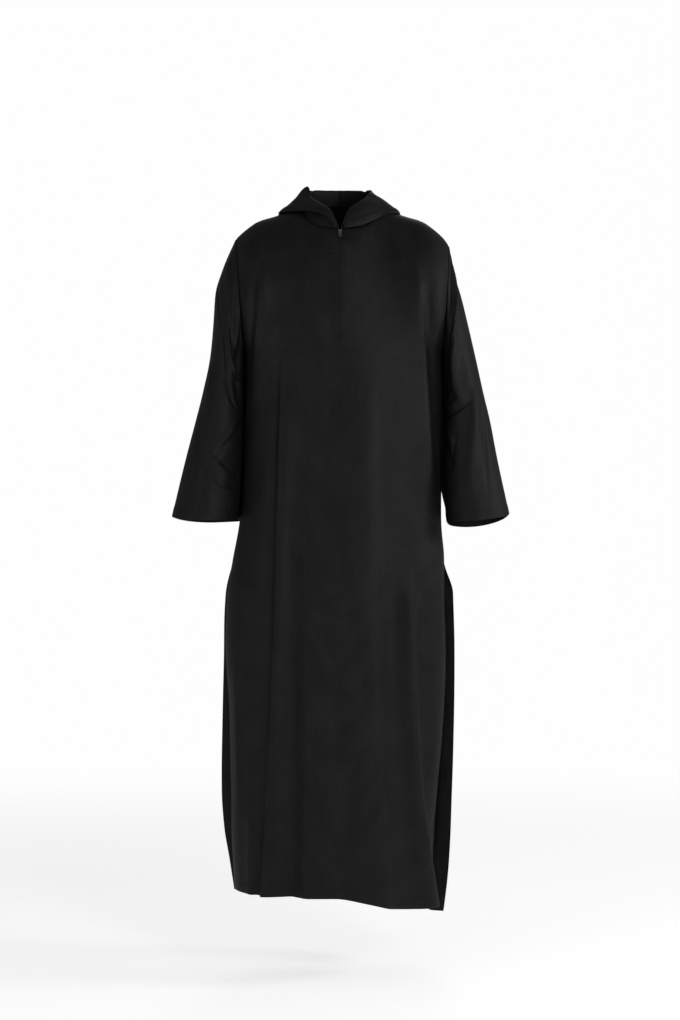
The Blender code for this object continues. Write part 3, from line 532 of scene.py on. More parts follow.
class RobeZipSettings(bpy.types.PropertyGroup):
    """Sizes and colours of the zip."""

    coil_pitch: length("Coil pitch", "From one turn of the coil to the next", 0.00105)
    coil_wide: length("Coil width", "Across the closed coil", 0.0026)
    coil_thick: length("Coil thread", "Thickness of the coil's filament", 0.0007)
    tape_wall: length("Tape", "Thickness of the woven tape", 0.0008)
    tape_colour: hexed("Tape colour", "Colour of the woven tape", "#111112")
    slider_colour: hexed("Slider colour", "Colour of the nickel plate", "#b9b6b1")
    pull_colour: hexed("Pull colour", "Colour of the gunmetal plate", "#757272")


class RobeStageSettings(bpy.types.PropertyGroup):
    """The studio's floor, lights and camera."""

    floor: bpy.props.FloatProperty(
        name="Floor", description="Height of the floor", default=-1.552, unit="LENGTH"
    )
    distance: length("Camera distance", "From the camera to the robe's middle plane", 4.2)
    eye: bpy.props.FloatProperty(
        name="Camera height", description="Height of the camera", default=-0.6077, unit="LENGTH"
    )
    frame_high: length("Frame", "Height that the camera frames at the robe's plane", 2.1012)
    key: number("Key light", "Power of the key light, in watts", 18.0)
    fill: number("Fill light", "Power of the fill light, in watts", 8.5)
    side: number("Side light", "Power of the light beside the robe, in watts", 21.0)
    back: number("Back light", "Power of the light behind the robe, in watts", 12.0)
    ambient: number("Ambient", "Strength of the studio's even light", 0.17)
    backdrop: number("Backdrop", "Brightness of the seamless background", 0.99)
    glow: number("Floor glow", "How far the floor is lit from all round", 0.62)
    bounce: number("Floor bounce", "Share of the floor's glow that lights the robe", 0.35)
    floor_colour: hexed("Floor colour", "Colour of the pale floor", "#f4f4f4")


# ---------------------------------------------------------------- curves and tables

def between(t, step, start, end, leave, arrive):
    """A smooth span from start to end with the slopes given, at a share t of its step."""
    return (
        start * (1 + 2 * t) * (1 - t) ** 2
        + end * t * t * (3 - 2 * t)
        + step * (leave * t * (1 - t) ** 2 - arrive * t * t * (1 - t))
    )


def smooth(keys, values, at):
    """A smooth curve through the values that doesn't swing past them between rows."""
    if keys[0] > keys[-1]:
        keys, values = keys[::-1], values[::-1]
    at = np.clip(at, keys[0], keys[-1])
    steps = np.diff(keys)
    slopes = np.diff(values) / steps
    tangents = np.zeros(len(keys))
    left, right = slopes[:-1], slopes[1:]
    turning = left * right > 0
    tangents[1:-1][turning] = 2 * left[turning] * right[turning] / (left + right)[turning]
    tangents[0], tangents[-1] = slopes[0], slopes[-1]
    k = np.clip(np.searchsorted(keys, at, side="right") - 1, 0, len(keys) - 2)
    t = (at - keys[k]) / steps[k]
    return between(t, steps[k], values[k], values[k + 1], tangents[k], tangents[k + 1])


def read(rows, name, at):
    """A table's column where its first column stands at the values given."""
    values = np.array([(row[0], getattr(row, name)) for row in rows])
    return smooth(values[:, 0], values[:, 1], np.asarray(at, float))


def ease(t):
    t = np.clip(t, 0, 1)
    return t * t * (3 - 2 * t)


def bell(distance, width):
    return np.exp(-((distance / width) ** 2))


def unit(vectors):
    return vectors / np.maximum(np.linalg.norm(vectors, axis=-1, keepdims=True), NO_LENGTH)


def crowded(count, peaks):
    """Shares from 0 to 1 that stand closer round each peak (place, width, how much closer)."""
    fine = np.linspace(0, 1, SHARE_SAMPLES)
    density = np.ones_like(fine)
    for place, width, closer in peaks:
        density += closer * bell(fine - place, width)
    run = np.concatenate([[0], np.cumsum((density[1:] + density[:-1]) / 2)])
    return np.interp(np.linspace(0, run[-1], count + 1), run, fine)


def rounded(angle):
    """A point round the body's section, at half widths and depths of 1."""
    power = 2 / SECTION_POWER
    return np.sign(angle) * np.abs(np.sin(angle)) ** power, np.abs(np.cos(angle)) ** power


def section_angles():
    """Angles that space the columns evenly round a typical section."""
    angles = np.linspace(-math.pi / 2, math.pi / 2, SECTION_SAMPLES)
    x, y = rounded(angles)
    steps = np.hypot(np.diff(CHEST_HALF * x), np.diff(CHEST_DEPTH * y))
    run = np.concatenate([[0], np.cumsum(steps)])
    return run / run[-1] * 2 - 1, angles


EVEN_SHARES, EVEN_ANGLES = section_angles()


# ---------------------------------------------------------------- the body's form

def body_section(u, height, facing):
    """A point across a panel (u from -1 at the wearer's right to 1) at one height."""
    right, left, depth, edge = [
        read(SECTIONS, ("front" if facing < 0 else "back") + part, height)
        for part in ("_right", "_left", "", "_edge")
    ]
    edge = facing * edge - SEAM_LAP
    x, y = rounded(np.interp(u, EVEN_SHARES, EVEN_ANGLES))
    return np.where(u < 0, right, left) * x, facing * (edge + (depth - edge) * y)


def neck_point(angle):
    """The neckline at an angle from the front, positive towards the wearer's left."""
    turn = np.degrees(np.abs(angle))
    radius = read(NECKLINE, "radius", turn)
    return radius * np.sin(angle), -radius * np.cos(angle), read(NECKLINE, "height", turn)


def neck_turn(share):
    """The angle from the front or back centre at a share of the neckline's quarter."""
    return math.pi / 2 * share ** NECK_CROWD


def top_edge(u, facing):
    """A panel's top: the shoulder seams, and the neckline between them."""
    size, sign = np.abs(u), np.where(u < 0, -1.0, 1.0)
    turn = neck_turn(np.clip(size / NECK_COLUMNS, 0, 1))
    neck_x, neck_y, neck_z = neck_point(turn if facing < 0 else math.pi - turn)
    outer = np.where(u < 0, SLEEVE_RIGHT[0].outer, SLEEVE_LEFT[0].outer)
    seam = np.clip((size - NECK_COLUMNS) / (1 - NECK_COLUMNS), 0, 1)
    side_x = SHOULDER[0].across + (outer - SHOULDER[0].across) * seam
    from_neck = size < NECK_COLUMNS
    x = sign * np.where(from_neck, neck_x, side_x)
    y = np.where(from_neck, neck_y, 0.0) - facing * SEAM_LAP
    return x, y, np.where(from_neck, neck_z, read(SHOULDER, "height", side_x))


def panel_base(u, v, facing):
    """A panel's smooth form. v runs 0 to 1 to the underarm's level and on to 2 at the hem."""
    w = np.clip(v, 0, 1)
    top_x, top_y, top_z = top_edge(u, facing)
    chest_x, chest_y = body_section(u, np.full_like(u, UNDERARM), facing)
    quarter = w * math.pi / 2
    x = top_x + (chest_x - top_x) * w
    y = top_y + (chest_y - top_y) * np.sin(quarter)
    z = top_z + (UNDERARM - top_z) * (1 - np.cos(quarter))
    pull = ease((np.abs(u) - 1 + ARMHOLE_REACH) / ARMHOLE_REACH)
    turn = w * math.pi if facing < 0 else (2 - w) * math.pi
    for sign, rows in ((-1, SLEEVE_RIGHT), (1, SLEEVE_LEFT)):
        start = rows[0]
        hole_x, hole_y, hole_z = ring_point(rows, turn, np.zeros_like(turn))
        plain_x = sign * (start.outer + (start.inner - start.outer) * w)
        plain_z = start.outer_height + (UNDERARM - start.outer_height) * (1 - np.cos(quarter))
        share = np.where(np.sign(u) == sign, pull, 0.0)
        x = x + share * (sign * hole_x - plain_x)
        y = y + share * hole_y
        z = z + share * (hole_z - plain_z)
    across, _ = body_section(u, np.full_like(u, HEM_LEVEL), facing)
    hem = read(HEM, "front" if facing < 0 else "back", across)
    low_z = UNDERARM + (hem - UNDERARM) * (v - 1)
    low_x, low_y = body_section(u, low_z, facing)
    pairs = (low_x, x), (low_y, y), (low_z, z)
    return np.stack([np.where(v > 1, low, high) for low, high in pairs], -1)


def hanging_folds(folds, x, z):
    """How far a panel's folds move its cloth out at a place across and a height."""
    out = np.zeros_like(x)
    for fold in folds:
        share = (z - fold.top) / (fold.bottom - fold.top)
        middle = 2 * fold.x_middle - (fold.x_top + fold.x_bottom) / 2
        inside = np.clip(share, 0, 1)
        path = (
            fold.x_top * (1 - inside) ** 2
            + 2 * middle * inside * (1 - inside)
            + fold.x_bottom * inside ** 2
        )
        off = x - path
        fade = ease(share / FOLD_TOP_FADE)
        if fold.bottom > HEM_LEVEL:
            fade = fade * ease((1 - share) / FOLD_BOTTOM_FADE)
        width = np.where(off < 0, fold.wide_right, fold.wide_left)
        out = out + fold.height * fade * bell(off, width)
    return out


def creased(creases, across, down, fade, flat=lambda *place: np.stack(place, -1)):
    """How far creases move cloth out. fade says how high each is at a share of its length."""
    out = np.zeros_like(down)
    for crease in creases:
        start, end = flat(*np.array(crease[:2])), flat(*np.array(crease[2:4]))
        line, here = end - start, flat(across, down) - start
        share = np.clip((here @ line) / (line @ line), 0, 1)
        away = np.linalg.norm(here - share[..., None] * line, axis=-1)
        out = out + crease.height * fade(share) * bell(away, crease.width)
    return out


def waves(x, z):
    """Slow, uneven waves of hanging cloth."""
    out = np.zeros_like(x)
    for row in WAVES:
        sway = row.sway * np.sin(2 * math.pi * z / row.sway_spacing + row.start)
        out = out + row.height * np.sin(2 * math.pi * (x / row.spacing + sway) + row.start)
    return out


def panel_point(u, v, facing):
    """A panel's form with its folds, moved along the outward normal."""
    u, v = np.broadcast_arrays(np.asarray(u, float), np.asarray(v, float))
    base = panel_base(u, v, facing)
    right, left = np.maximum(u - STEP, -1), np.minimum(u + STEP, 1)
    above, below = np.maximum(v - STEP, 0), np.minimum(v + STEP, 2)
    across = panel_base(left, v, facing) - panel_base(right, v, facing)
    down = panel_base(u, below, facing) - panel_base(u, above, facing)
    normal = unit(np.cross(across, down) * -facing)
    x, z = base[..., 0], base[..., 2]
    folds, creases = (FRONT_FOLDS, FRONT_DENTS) if facing < 0 else (BACK_FOLDS, BACK_DENTS)
    rise = hanging_folds(folds, x, z) + creased(
        creases, x, z, lambda share: np.sin(math.pi * np.clip(share, DENT_END, 1 - DENT_END))
    )
    rise = rise + waves(x, z) * ease((-z - WAVES_BELOW) / WAVES_GROW)
    sewn = ease((1 - np.abs(u)) / SIDE_SEAM_FADE) * ease(v / SHOULDER_FADE)
    open_side = ease((v - SLIT_FADE_FROM) / SLIT_FADE)
    rise = rise * np.maximum(sewn, np.where(v > 1, open_side, 0))
    return base + normal * -rise[..., None]


# ---------------------------------------------------------------- sleeves and hood

def ring_point(rows, turn, along):
    """The sleeve's oval at a share of its length, for the side where x is positive."""
    value = {name: read(rows, name, along) for name in rows[0]._fields[1:]}
    share = (1 + np.cos(turn)) / 2
    behind = (np.degrees(turn) % 360 - TUCK_ANGLE) / TUCK_SPREAD
    x = value["inner"] + (value["outer"] - value["inner"]) * share
    x = x - value["tuck"] * np.exp(-(behind ** 2))
    z = value["inner_height"] + (value["outer_height"] - value["inner_height"]) * share
    side = np.sin(turn)
    reach = np.where(side > 0, value["front"], value["back"])
    drop = np.where(side > 0, value["front_drop"], value["back_drop"])
    return x, value["middle"] - reach * side, z - drop * np.abs(side)


def crease_rise(creases, degrees, along, radius, run):
    """How far creases move cloth out, on a piece of a typical radius and run."""
    return creased(
        creases, degrees, along,
        lambda share: CREASE_END + (1 - CREASE_END) * np.sin(math.pi * share),
        lambda angle, share: np.stack([np.radians(angle) * radius, share * run], -1),
    )


def sleeve_point(rows, creases, sign, turn, along):
    """The sleeve's cloth with its creases, clear of the armhole's edge at its start."""
    def base(a, b):
        return np.stack(ring_point(rows, a, b), -1)

    round_it = base(turn + STEP, along) - base(turn - STEP, along)
    down = base(turn, np.minimum(along + STEP, 1)) - base(turn, np.maximum(along - STEP, 0))
    normal = unit(np.cross(round_it, down))
    rise = crease_rise(creases, np.degrees(turn) % 360, along, SLEEVE_RADIUS, SLEEVE_LONG)
    point = base(turn, along) + normal * (rise * ease(along / ARMHOLE_FADE))[..., None]
    start = np.clip(1 - along / CLEAR_FADE, 0, 1)
    top = (1 + np.cos(turn)) / 2
    point[..., 0] += (UNDERARM_CLEAR + (SHOULDER_CLEAR - UNDERARM_CLEAR) * top) * start
    point[..., 0] *= sign
    return point


def through(points, share):
    """Smooth curves through rows of points, at a share of their length."""
    gaps = np.linalg.norm(np.diff(points, axis=0), axis=-1) ** 0.5
    knots = np.concatenate([np.zeros_like(gaps[:1]), np.cumsum(gaps, axis=0)])
    knots = knots / knots[-1]
    last = len(points) - 1
    tangents = np.empty_like(points)
    for i in range(last + 1):
        before, after = max(i - 1, 0), min(i + 1, last)
        tangents[i] = (points[after] - points[before]) / (knots[after] - knots[before])[..., None]
    out = np.zeros(np.broadcast_shapes(share.shape, knots[0].shape) + (3,))
    for i in range(last):
        low, high = knots[i], knots[i + 1]
        inside = (share >= low) & ((share < high) | (i == last - 1))
        t = np.clip((share - low) / (high - low), 0, 1)[..., None]
        step = (high - low)[..., None]
        value = between(t, step, points[i], points[i + 1], tangents[i], tangents[i + 1])
        out = np.where(inside[..., None], value, out)
    return out


def hood_point(rows, sign, angle, rise):
    """The hood's cloth from its neck seam (rise 0) to its free edge (rise 1)."""
    def value(name):
        return read(rows, name, np.degrees(angle))

    roll, fold, edge = [
        np.stack([value(f"{name}_{axis}") for axis in "xyz"], -1)
        for name in ("roll", "fold", "edge")
    ]
    seam = np.stack(neck_point(angle), -1)
    seam[..., 2] += SEAM_GAP + SHELL / 2
    outward = np.stack([np.sin(angle), -np.cos(angle), np.zeros_like(angle)], -1)
    lay = roll * ROLL_SHARE + fold * (1 - ROLL_SHARE) + outward * value("bulge")[..., None]
    back = (fold + edge) / 2 + outward * value("swell")[..., None]
    point = through(np.stack([seam, roll, lay, fold, back, edge]), rise)
    point[..., 0] += HOOD_SEAM_HALF
    point[..., 0] *= sign
    return point


# ---------------------------------------------------------------- sewing worked into cloth

def run_of(points, axis):
    """Distance along the cloth from its first row or column."""
    steps = np.linalg.norm(np.diff(points, axis=axis), axis=-1)
    start = np.zeros_like(np.take(steps, [0], axis=axis))
    return np.concatenate([start, np.cumsum(steps, axis=axis)], axis=axis)


def normals_of(points, outward, closed):
    """The grid's normals, turned so that most follow the outward directions given."""
    if closed:
        points = np.concatenate([points[:, -2:-1], points, points[:, 1:2]], axis=1)
    normal = unit(np.cross(np.gradient(points, axis=1), np.gradient(points, axis=0)))
    if closed:
        normal = normal[:, 1:-1]
    return -normal if (normal * outward).sum() < 0 else normal


def pucker(distance, run):
    """Small uneven puckers that stitches draw beside their line."""
    wander = sum(far * np.sin(run / over + start) for far, over, start in PUCKER_WANDERS)
    swell = 1 - PUCKER_SWELL + PUCKER_SWELL * np.sin(run / PUCKER_SWELL_RUN + PUCKER_SWELL_START)
    wave = np.sin(2 * math.pi * run / PUCKER_SPACING + wander)
    return PUCKER * swell * wave * bell(distance, PUCKER_SPREAD)


def seam(distance, run):
    """Cloth drawn in beside a seam."""
    return -SEAM_SINK * bell(distance, SEAM_SPREAD) + pucker(distance, run)


def doubled(distance, depth):
    """1 where a hem doubles the cloth, 0 outside."""
    return ease((depth - distance) / FOLD_EDGE)


def hem(distance, run, depth):
    """A turned hem: its rolled edge, its doubled cloth, and its stitches with their puckers."""
    line = depth - STITCH_INSET
    return (
        HEM_RISE * doubled(distance, depth)
        - STITCH_SINK * bell(distance - line, STITCH_SPREAD)
        - EDGE_ROLL * bell(distance, STITCH_SPREAD)
        + pucker(distance - line, run)
    )


class Cloth:
    """A grid of cloth: its points, outward normals, and distances from each of its edges."""

    def __init__(self, points, outward, closed=False):
        self.points = points
        self.normals = normals_of(points, outward, closed)
        self.across = run_of(points, 1)
        self.down = run_of(points, 0)
        self.back = self.across[:, -1:] - self.across
        self.side = np.minimum(self.across, self.back)
        self.foot = self.down[-1:] - self.down

    def move_out(self, rise):
        self.points = self.points + self.normals * rise[..., None]

    def line(self, field, level, axis, kept=slice(None)):
        """The points and normals of a stitch line where a field first reaches a level."""
        field = np.moveaxis(field, axis, 0)
        index = np.clip((field >= level).argmax(axis=0), 1, len(field) - 1)
        each = np.arange(len(index))
        before, after = field[index - 1, each], field[index, each]
        share = np.clip((level - before) / np.where(after == before, 1, after - before), 0, 1)
        lines = []
        for values in (self.points, self.normals):
            values = np.moveaxis(values, axis, 0)
            low, high = values[index - 1, each], values[index, each]
            lines.append((low + (high - low) * share[:, None])[kept])
        return lines

    def hem_line(self, depth):
        return self.line(-self.foot, STITCH_INSET - depth, 0)


# ---------------------------------------------------------------- materials

def linear(colour):
    """A linear colour from sRGB hex."""
    parts = [int(colour[i:i + 2], 16) / 255 for i in (1, 3, 5)]
    return (*[c / 12.92 if c <= 0.04045 else ((c + 0.055) / 1.055) ** 2.4 for c in parts], 1.0)


def fill(node, sockets):
    """Gives a node's sockets their values, and links those that another socket feeds."""
    for name, value in sockets.items():
        if isinstance(value, bpy.types.NodeSocket):
            node.id_data.links.new(value, node.inputs[name])
        else:
            node.inputs[name].default_value = value


def add(tree, kind, sockets, out=0, stops=(), **settings):
    """Adds a node with its settings, colour stops, values and links, and returns an output."""
    node = tree.nodes.new("ShaderNode" + kind)
    for name, value in settings.items():
        setattr(node, name, value)
    for stop, (place, colour) in enumerate(stops):
        node.color_ramp.elements[stop].position = place
        node.color_ramp.elements[stop].color = colour
    fill(node, sockets)
    return node.outputs[out]


def material(name, dress, *facts):
    """A material of this name, whose nodes are made once by the function given."""
    mat = bpy.data.materials.get(name)
    if not mat:
        mat = bpy.data.materials.new(name)
        mat.use_nodes = True
        dress(mat.node_tree, mat.node_tree.nodes["Principled BSDF"], *facts)
    return mat


def wave_scale(spacing):
    """The scale that spaces a wave texture, which turns 20 / (2 pi) times for each unit."""
    return 2 * math.pi / (20 * spacing)


# Spacings of patterns, in metres.
TWILL_SPACING = 0.0011   # ribs, drawn about twice as coarse as real ones so that they show
TWILL_SLANT = math.radians(63)
THREAD_SPACING = 0.0007
MOTTLE_SPACING = 0.06    # between slightly worn and fuller-coloured places
TWIST_SPACING = 0.0006   # of the sewing thread's strands
TAPE_RIB_SPACING = 0.0009
TAPE_FOLD = 0.0045       # from one turn of the herringbone to the next
TAPE_SLANT = math.radians(45)

# Threads' thick places, uneven picks across the cloth and uneven ends down it: how long,
# how much longer one way than the other, and the noise's detail.
SLUBS = 0.0045, (6.0, 1.0, 1.0), 4.0
PICKS = 0.0045, (1.0, 9.0, 1.0), 3.0
ENDS = 0.0060, (12.0, 1.0, 1.0), 3.0

# Patterns to the metre: flecks on thread, dust on the coil, rubs and spots on plate, and the
# floor's grain.
THREAD_FLECKS = 260.0
COIL_DUST = 420.0
PLATE_RUBS = 2600.0
PLATE_SPOTS = 700.0
FLOOR_GRAIN = 30.0
RUB_LONG = (1.0, 1.0, 0.15)  # rubs run down the metal
SPOT_SHADE = 0.72            # a dull spot's brightness against the plate's
NICKEL_ROUGHNESS = 0.22, 0.36    # bright plate, and a duller one that takes more wear
GUNMETAL_ROUGHNESS = 0.42, 0.58

WHITE = (1, 1, 1, 1)
NAP_DUST = "#8d8486"         # of the twill's sheen
THREAD_LIGHT = "#171617"
# painted shade in the tape's grooves between its ribs
TAPE_GROOVE_SHADE = "#0b0b0c"
COIL_DARK = "#0d0d0e"
COIL_LIGHT = "#1c1c1e"


def satin_twill(tree, shader, cloth):
    """Fine satin twill, piece-dyed black: steep ribs, a soft lustre and a slightly dusty nap. Its
    raised ribs and slubs are painted lighter as painted lustre, and its hollows darker as painted
    shade.
    """
    cut = add(tree, "UVMap", {}, "UV", uv_map="cut")
    ribs = add(tree, "Mapping", {"Vector": cut, "Rotation": (0, 0, TWILL_SLANT)})
    twill, threads = [
        add(tree, "TexWave", {
            "Vector": way, "Scale": wave_scale(spacing), "Distortion": uneven, "Detail": 1.0,
        }, "Fac")
        for way, spacing, uneven in ((ribs, TWILL_SPACING, 0.4), (cut, THREAD_SPACING, 0.6))
    ]
    slubs, picks, ends = [
        add(tree, "TexNoise", {
            "Vector": add(tree, "Mapping", {"Vector": cut, "Scale": stretch}),
            "Scale": 1 / spacing / max(stretch), "Detail": detail, "Roughness": 0.6,
        })
        for spacing, stretch, detail in (SLUBS, PICKS, ENDS)
    ]
    mottle = add(tree, "TexNoise", {
        "Vector": cut, "Scale": 1 / MOTTLE_SPACING, "Detail": 3.0, "Roughness": 0.55,
    })
    weave = add(tree, "Mix", {"Factor": 0.35, "A": twill, "B": threads})
    relief = add(tree, "Mix", {"Factor": 0.30, "A": weave, "B": slubs})
    lines = add(tree, "Mix", {"Factor": 0.50, "A": picks, "B": ends})
    worn = add(tree, "Mix", {"Factor": 0.50, "A": lines, "B": mottle})
    # In this mix, relief paints the raised ribs and slubs lighter as painted lustre and the
    # hollows darker as painted shade; picks, ends and mottle vary the tone at random.
    shade = add(tree, "Mix", {"Factor": 0.72, "A": relief, "B": worn})
    tones = (0.40, linear(cloth.colour)), (0.62, linear(cloth.lit_colour))
    fill(shader, {
        "Base Color": add(tree, "ValToRGB", {"Fac": shade}, stops=tones),
        "Roughness": add(tree, "MapRange", {"Value": shade, "To Min": 0.54, "To Max": 0.66}),
        "Normal": add(tree, "Bump", {"Height": relief, "Strength": 0.35, "Distance": 0.00012}),
        "Specular IOR Level": 0.20, "Sheen Weight": 0.015, "Sheen Roughness": 0.5,
        "Sheen Tint": linear(NAP_DUST),
    })


def polyester_thread(tree, shader, cloth):
    """Twisted polyester sewing thread: slightly glossier than the cloth, so stitches glint."""
    place = add(tree, "TexCoord", {}, "Object")
    twist = add(tree, "TexWave", {
        "Vector": place, "Scale": wave_scale(TWIST_SPACING), "Distortion": 1.0,
    }, "Fac", bands_direction="DIAGONAL")
    fleck = add(tree, "TexNoise", {"Vector": place, "Scale": THREAD_FLECKS, "Detail": 2.0})
    tones = (0, linear(cloth.thread_colour)), (1, linear(THREAD_LIGHT))
    fill(shader, {
        "Base Color": add(tree, "ValToRGB", {"Fac": fleck}, stops=tones),
        "Normal": add(tree, "Bump", {"Height": twist, "Strength": 0.4, "Distance": 0.0001}),
        "Roughness": 0.50, "Specular IOR Level": 0.25,
    })


def woven_tape(tree, shader, settings):
    """Woven polyester zip tape in a fine herringbone: matt, with short slanting ribs. The grooves
    between its ribs are darkened as painted shade.
    """
    cut = add(tree, "UVMap", {}, "UV", uv_map="cut")
    parts = add(tree, "SeparateXYZ", {"Vector": cut}).node.outputs
    folded = add(tree, "Math", {0: parts["X"], 1: TAPE_FOLD}, operation="PINGPONG")
    turning = add(tree, "CombineXYZ", {"X": folded, "Y": parts["Y"]})
    slant = add(tree, "Mapping", {"Vector": turning, "Rotation": (0, 0, TAPE_SLANT)})
    ribs = add(tree, "TexWave", {
        "Vector": slant, "Scale": wave_scale(TAPE_RIB_SPACING), "Distortion": 0.5,
    }, "Fac")
    # The ribs' hollows take the darker colour as painted shade, and their crests the tape's own
    # colour.
    tones = (0, linear(TAPE_GROOVE_SHADE)), (1, linear(settings.tape_colour))
    fill(shader, {
        "Base Color": add(tree, "ValToRGB", {"Fac": ribs}, stops=tones),
        "Normal": add(tree, "Bump", {"Height": ribs, "Strength": 0.5, "Distance": 0.0002}),
        "Roughness": 0.75,
    })


def nylon_coil(tree, shader):
    """Extruded nylon filament, wound and set: smooth, dark, with a soft plastic gloss."""
    place = add(tree, "TexCoord", {}, "Object")
    dust = add(tree, "TexNoise", {"Vector": place, "Scale": COIL_DUST, "Detail": 3.0})
    tones = (0, linear(COIL_DARK)), (1, linear(COIL_LIGHT))
    fill(shader, {
        "Base Color": add(tree, "ValToRGB", {"Fac": dust}, stops=tones),
        "Roughness": add(tree, "MapRange", {"Value": dust, "To Min": 0.28, "To Max": 0.42}),
        "IOR": 1.53,
    })


def plated_zinc(tree, shader, colour, roughness):
    """Die-cast zinc, tumbled and plated: smooth, with hairline rubs and slightly duller spots."""
    place = add(tree, "TexCoord", {}, "Object")
    low, high = roughness
    rubbed = add(tree, "Mapping", {"Vector": place, "Scale": RUB_LONG})
    rubs = add(tree, "TexNoise", {
        "Vector": rubbed, "Scale": PLATE_RUBS, "Detail": 3.0, "Roughness": 0.7,
    })
    spots = add(tree, "TexNoise", {"Vector": place, "Scale": PLATE_SPOTS, "Detail": 2.0})
    base = linear(colour)
    tones = (0.3, (*[c * SPOT_SHADE for c in base[:3]], 1.0)), (0.6, base)
    fill(shader, {
        "Base Color": add(tree, "ValToRGB", {"Fac": spots}, stops=tones),
        "Roughness": add(tree, "MapRange", {"Value": rubs, "To Min": low, "To Max": high}),
        "Normal": add(tree, "Bump", {"Height": rubs, "Strength": 0.12, "Distance": 0.00005}),
        "Metallic": 1.0,
    })


def studio_floor(tree, shader, settings):
    """Painted studio floor: matt and pale, brightening evenly into the backdrop far off."""
    place = add(tree, "TexCoord", {}, "Object")
    grain = add(tree, "TexNoise", {"Vector": place, "Scale": FLOOR_GRAIN, "Detail": 4.0})
    seen = add(tree, "LightPath", {}, "Is Camera Ray")
    fill(shader, {
        "Base Color": linear(settings.floor_colour), "Roughness": 0.85,
        "Emission Color": WHITE,
        "Emission Strength": add(tree, "MapRange", {
            "Value": seen, "To Min": settings.glow * settings.bounce, "To Max": settings.glow,
        }),
        "Normal": add(tree, "Bump", {"Height": grain, "Strength": 0.05, "Distance": 0.001}),
    })
    plan = add(tree, "Mapping", {"Vector": place, "Scale": (1.0, 1.0, 0.0)})
    far = add(tree, "VectorMath", {0: plan}, "Value", operation="LENGTH")
    start, end = FLOOR_FADES
    share = add(tree, "MapRange", {
        "Value": far, "From Min": start, "From Max": end,
    }, interpolation_type="SMOOTHSTEP")
    glow = add(tree, "Emission", {"Color": WHITE, "Strength": settings.backdrop})
    both = add(tree, "Math", {0: share, 1: seen}, operation="MULTIPLY")
    blend = add(tree, "MixShader", {0: both, 1: shader.outputs[0], 2: glow})
    fill(tree.nodes["Material Output"], {"Surface": blend})


# ---------------------------------------------------------------- making pieces

def as_mesh(bm, name):
    """Turns a bmesh into a mesh and frees it."""
    mesh = bpy.data.meshes.new(name)
    bm.to_mesh(mesh)
    bm.free()
    return mesh


def new_object(name, data):
    obj = bpy.data.objects.new(name, data)
    bpy.context.scene.collection.objects.link(obj)
    return obj


def keep(name, mesh, mat, body, nodes=()):
    """Makes the mesh a piece of the robe that rides on a body and stands for solids."""
    mesh.materials.append(mat)
    mesh.shade_smooth()
    obj = new_object(name, mesh)
    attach(obj, body)
    if nodes:
        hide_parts(*nodes)
    return obj


def grid_mesh(name, cloth, open_rows=0):
    """A mesh of the cloth's grid with its cut as UVs, slit down its middle for some rows."""
    rows, columns = cloth.points.shape[:2]
    bm = bmesh.new()
    bmesh.ops.create_grid(bm, x_segments=columns - 1, y_segments=rows - 1, size=1)

    def cell(x, y, whole):
        return whole((x + 1) / 2 * (columns - 1)), whole((y + 1) / 2 * (rows - 1))

    if open_rows:
        middles = [(face, cell(*face.calc_center_median()[:2], int)) for face in bm.faces]
        slit = [face for face, (i, j) in middles if i == columns // 2 - 1 and j < open_rows]
        bmesh.ops.delete(bm, geom=slit, context="FACES")
    mesh = as_mesh(bm, name)
    place = np.empty(len(mesh.vertices) * 3)
    mesh.vertices.foreach_get("co", place)
    i, j = cell(place[::3], place[1::3], lambda share: np.rint(share).astype(int))
    mesh.vertices.foreach_set("co", cloth.points[j, i].ravel())
    corners = np.empty(len(mesh.loops), int)
    mesh.loops.foreach_get("vertex_index", corners)
    cut = np.stack([cloth.across[j, i], -cloth.down[j, i]], -1)
    mesh.uv_layers.new(name="cut").data.foreach_set("uv", cut[corners].ravel())
    mesh.update()
    first = mesh.polygons[len(mesh.polygons) // 2]
    corner = first.vertices[0]
    if first.normal.dot(Vector(cloth.normals[j[corner], i[corner]])) < 0:
        mesh.flip_normals()
    return mesh, i, j


def close_tube(mesh):
    """Joins a sheet's first and last columns, with its outer side out."""
    bm = bmesh.new()
    bm.from_mesh(mesh)
    bmesh.ops.remove_doubles(bm, verts=bm.verts[:], dist=SAME_PLACE)
    bmesh.ops.recalc_face_normals(bm, faces=bm.faces[:])
    middle = sum((vert.co for vert in bm.verts), Vector()) / len(bm.verts)
    if sum((face.calc_center_median() - middle).dot(face.normal) for face in bm.faces) < 0:
        bmesh.ops.reverse_faces(bm, faces=bm.faces[:])
    bm.to_mesh(mesh)
    bm.free()


def give_wall(obj, thickness, offset):
    wall = obj.modifiers.new("wall", "SOLIDIFY")
    wall.thickness = thickness
    wall.offset = offset
    return wall


def sheet(node, cloth, layers, settings, offset, open_rows=0):
    """Makes the cloth a piece that stands for its solid, thicker where it is doubled."""
    mesh, i, j = grid_mesh(node + "_cloth", cloth, open_rows)
    twill = material("satin_twill", satin_twill, settings)
    obj = keep(mesh.name, mesh, twill, BODY, [node])
    weights = layers[j, i]
    group = obj.vertex_groups.new(name="doubled")
    for index in np.nonzero(weights > LEAST_WEIGHT)[0]:
        group.add([int(index)], float(weights[index]), "REPLACE")
    wall = give_wall(obj, settings.hem_wall, offset)
    wall.vertex_group = group.name
    wall.thickness_vertex_group = settings.wall / settings.hem_wall
    return mesh


def rod(radius, long, sides):
    """A rod along X."""
    bm = bmesh.new()
    bmesh.ops.create_cone(
        bm, cap_ends=True, segments=sides, radius1=radius, radius2=radius, depth=long,
        matrix=Matrix.Rotation(math.pi / 2, 4, "Y"),
    )
    return bm


